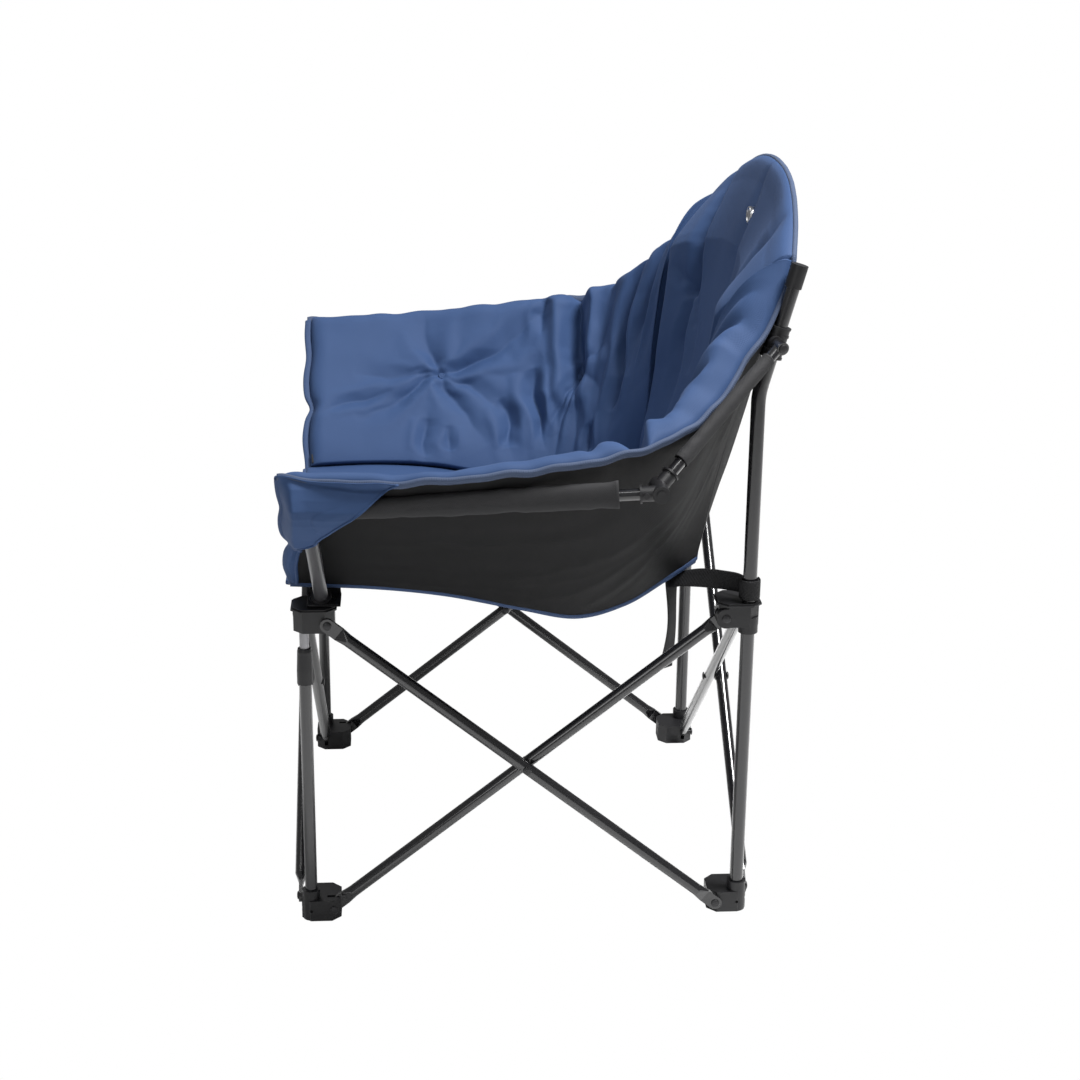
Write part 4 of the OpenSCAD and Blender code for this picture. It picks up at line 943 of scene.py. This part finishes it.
# A tab with an eyelet round each arm post
def tab(label, sx):
    # Flat on the hub's plate, then up to the seat's lower edge
    post, plate, hole = np.array([262, -260.0]), 440.9, 14.4
    xs = np.concatenate([np.linspace(288, 246, 26), np.linspace(245, 240, 5), np.linspace(239, 244, 10)])
    bend = plate + np.array([0.3, 1.2, 2.6, 4.5, 6.8])
    zs = np.concatenate([np.full(26, plate), bend, np.linspace(449, 463, 10)])
    ys = np.linspace(-1, 1, 27)
    half = np.concatenate([np.full(26, 21.0), np.linspace(21, 20, 5), np.linspace(20, 17, 10)])
    grid = np.stack(np.broadcast_arrays(
        xs[:, None], post[1] + half[:, None] * ys[None] + 3.0, zs[:, None]), -1)
    # The hole round the post's socket: points inside it move out to its edge
    flat_rows = slice(0, 26)
    dx, dy = grid[flat_rows, :, 0] - post[0], grid[flat_rows, :, 1] - post[1]
    r = np.hypot(dx, dy)
    inside = np.zeros(grid.shape[:2], bool)
    inside[flat_rows] = r < hole
    keep = ~(inside[:-1, :-1] & inside[1:, :-1] & inside[:-1, 1:] & inside[1:, 1:])
    scale = np.where(r < hole, hole / np.maximum(r, 0.01), 1)
    grid[flat_rows, :, 0] = post[0] + dx * scale
    grid[flat_rows, :, 1] = post[1] + dy * scale
    grid[..., 2] += noise(grid[..., 0], grid[..., 1], 12, 97 + sx) * 0.15
    count = grid.shape[0] * grid.shape[1]
    index = np.arange(count).reshape(grid.shape[:2])
    gap = np.zeros_like(grid)
    gap[..., 2] = 1.5
    gap[31:, :, 2], gap[31:, :, 0] = 0, 1.4
    top = flipped(grid + gap, sx).reshape(-1, 3)
    low = flipped(grid, sx).reshape(-1, 3)
    faces, edges = [], {}
    for i in range(len(xs) - 1):
        for j in range(len(ys) - 1):
            if keep[i, j]:
                q = [index[i, j], index[i + 1, j], index[i + 1, j + 1], index[i, j + 1]]
                faces.append(tuple(q))
                faces.append(tuple(x + count for x in q[::-1]))
                for k in range(4):
                    e = (q[k], q[(k + 1) % 4])
                    edges[tuple(sorted(e))] = None if tuple(sorted(e)) in edges else e
    for e in edges.values():
        if e:
            faces.append((e[1], e[0], e[0] + count, e[1] + count))
    obj = new_mesh(label + "_post_tab", metres(np.concatenate([top, low])), faces, WEBBING)
    lay_cloth(obj, np.concatenate([grid.reshape(-1, 3), grid.reshape(-1, 3)])[:, :2] / 1000)
    eyelet = ring(label + "_post_eyelet", np.array([sx * post[0], post[1], plate + 1.9]), [0, 0, 1],
                  15.2, 1.5, RUBBER)
    square = np.array([(244, -278), (286, -278), (286, -236), (244, -236), (244, -278)], float)
    square = np.concatenate([np.linspace(a, b, 20)[:-1] for a, b in zip(square[:-1], square[1:])])
    loop = np.column_stack([square, np.full(len(square), plate + 1.6)])
    across = unit(np.column_stack([square - np.array([265, -257]), np.zeros(len(square))]))
    sewn = stitches(label + "_tab_stitch", flipped(loop, sx), flipped(across, sx),
                    np.tile([0, 0, 1.0], (len(loop), 1)), 0, 0.1, 2.6, GREY_THREAD, 0.3)
    for piece in (obj, eyelet, sewn):
        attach(piece, label + "_front_hub")
    return obj, eyelet, sewn


tabs = {sx: tab(label, sx) for sx, label in SIDES}


def spline(points, n):
    points = np.asarray(points, float)
    return smooth_at(points, np.linspace(0, 1, n))


# Rear webbing: a loop round the pole with a cuff, a run with a twist and a hanging tail
def rear_webbing(label, sx):
    pole = np.array([283.0, 283.0])
    z = 456.5
    half_w, half_t = 12.5, 0.9
    upright = np.array([0, 0, 1.0])
    pole_r, play = 9, 0.4
    r = pole_r + play + half_t + 0.6

    def strap(name, line, across, wide=half_w, thick=half_t):
        return ribbon(label + "_strap_" + name, flipped(line, sx), flipped(across, sx), wide, thick)

    def round_pole(radius, first, last, count, height):
        turn = np.linspace(math.radians(first), math.radians(last), count)
        return np.column_stack([pole[0] + radius * np.cos(turn), pole[1] + radius * np.sin(turn),
                                np.full(count, height)])

    loop = strap("loop", round_pole(r, 200, -160, 48, z), np.tile(upright, (48, 1)))
    # The sewn cuff over the loop's ends
    cuff = strap("cuff", round_pole(r + 1.9, 120, -110, 30, z + 0.5), np.tile(upright, (30, 1)), 13.2)
    count = 70
    route = spline([(272.5, 279, z), (262, 270, z + 1), (250, 254, z), (236, 232, z - 2),
                    (224, 214, z - 6), (214, 200, z - 11), (205, 190, z - 14)], count)
    lean = np.radians(np.interp(np.linspace(0, 1, count), [0, .35, .75, 1], [0, 8, 48, 30]))
    way = unit(np.gradient(route, axis=0))
    sideways = unit(np.cross(way, upright))
    run = strap("run", route, upright * np.cos(lean)[:, None] + sideways * np.sin(lean)[:, None])
    # Tail that hangs from the run's end, with a slow wave
    drop = np.linspace(0, 1, 90)
    hang = np.column_stack([207 + 3.0 * np.sin(drop * 5.5) * drop - 2 * drop,
                            193 + 5 * np.sin(drop * 4.0) * drop, z - 8 - 132 * drop])
    twist = np.radians(-52 + 14 * np.sin(drop * 4) + 10 * drop)
    across = np.column_stack([np.cos(twist), np.sin(twist), 0 * twist])
    tail = strap("tail", hang, across)
    end = hang[-1]
    fold = np.column_stack([np.full(8, end[0]), np.full(8, end[1]), end[2] + np.linspace(0, 14, 8)])
    hem = strap("tail_hem", fold, np.tile(across[-1], (8, 1)), 12.6, 1.9)
    sewn = []
    for tag, share in (("a", 0.06), ("b", 0.13)):
        i = int(share * (count - 1))
        line = np.linspace(route[i] + upright * -10.5, route[i] + upright * 10.5, 8)
        across, out = np.tile(way[i], (8, 1)), np.tile(-sideways[i], (8, 1))
        sewn.append(stitches(f"{label}_strap_stitch_{tag}", flipped(line, sx), flipped(across, sx),
                             flipped(out, sx), 0, 1.0, 2.4, GREY_THREAD, 0.3))
    for piece in [loop, cuff, run, tail, hem] + sewn:
        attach(piece, label + "_rear_hub")
    return loop, cuff, run, tail, hem


webbing = {sx: rear_webbing(label, sx) for sx, label in SIDES}


# A lamp that looks at aim; size in m, power in W
def area_light(name, place, aim, size, power, size_y=None):
    data = bpy.data.lights.new(name, "AREA")
    data.shape, data.size, data.energy = "RECTANGLE", size, power
    data.size_y = size_y or size
    light = bpy.data.objects.new(name, data)
    scene.collection.objects.link(light)
    light.location = place
    light.rotation_mode = "QUATERNION"
    light.rotation_quaternion = (Vector(aim) - Vector(place)).to_track_quat("-Z", "Y")


# The camera sees plain white; all other rays get the shader of their own
def white_for_camera(tree, kind, shader, target):
    white = node(tree, kind, Color=(1, 1, 1, 1), Strength=1.0)
    rays, choose = node(tree, "ShaderNodeLightPath"), node(tree, "ShaderNodeMixShader")
    link(tree, rays.outputs["Is Camera Ray"], choose.inputs["Fac"])
    link(tree, shader.outputs[0], choose.inputs[1])
    link(tree, white.outputs[0], choose.inputs[2])
    link(tree, choose.outputs[0], target.inputs["Surface"])


world = bpy.data.worlds.new("studio")
scene.world = world
world.use_nodes = True
tree = world.node_tree
soft_light = tree.nodes["Background"]
soft_light.inputs["Color"].default_value = (1, 1, 1, 1)
soft_light.inputs["Strength"].default_value = 0.2
white_for_camera(tree, "ShaderNodeBackground", soft_light, tree.nodes["World Output"])

area_light("key", (0.45, 1.15, 2.8), (0, 0, 0.6), 0.7, 100)
area_light("fill", (3.0, -1.4, 1.6), (0, 0, 0.5), 1.2, 10)
area_light("strip", (1.35, -0.2, 2.9), (0, 0, 0.5), 3.2, 16, size_y=0.2)
area_light("rim", (-1.6, -1.2, 2.4), (0, 0, 0.5), 1.2, 16)

FLOOR_REACH, FLOOR_DROP = 8, -0.0006
floor_mesh = bpy.data.meshes.new("floor")
corners = [(x * FLOOR_REACH, y * FLOOR_REACH, FLOOR_DROP)
           for x, y in ((-1, -1), (1, -1), (1, 1), (-1, 1))]
floor_mesh.from_pydata(corners, [], [(0, 1, 2, 3)])
floor = bpy.data.objects.new("floor", floor_mesh)
scene.collection.objects.link(floor)
floor_material, tree, diffuse = material("floor_white", Roughness=0.7, Base_Color=(0.9, 0.9, 0.9, 1))
white_for_camera(tree, "ShaderNodeEmission", diffuse, tree.nodes["Material Output"])
floor_mesh.materials.append(floor_material)
scene.view_settings.view_transform = "Standard"


# Works out a sheet's length and width from the area of one face; the result is not kept or used
def declare_sheet(piece):
    area = sum(p.area for p in piece.data.polygons) / 2
    length = max(max(piece.dimensions), area ** 0.5)
    width = max(area / length, 0.01)
    if width * length < area:
        width = area / length


for sx, side_name in SIDES:
    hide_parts(side_name + "_arm_pad")
    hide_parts(side_name + "_side_shell")
    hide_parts(side_name + "_rear_strap")
    for piece in [arm_pads[sx], shells[sx]] + side_trim[sx] + list(wraps[sx]):
        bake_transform(piece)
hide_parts("back_pad")
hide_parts("back_shell")
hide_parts("seat_pad")
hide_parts("seat_base")
for piece in [back_padding, back_cover, seat_padding, seat_cover] + back_trim:
    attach(piece, "left_rear_leg")
    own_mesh(piece)
for sx, side_name in SIDES:
    declare_sheet(shells[sx])
    declare_sheet(wraps[sx][0])
    declare_sheet(tabs[sx][0])
    for piece in webbing[sx][:4]:
        declare_sheet(piece)
declare_sheet(back_cover)
declare_sheet(seat_cover)
for piece, sewn in sleeves:
    declare_sheet(piece)
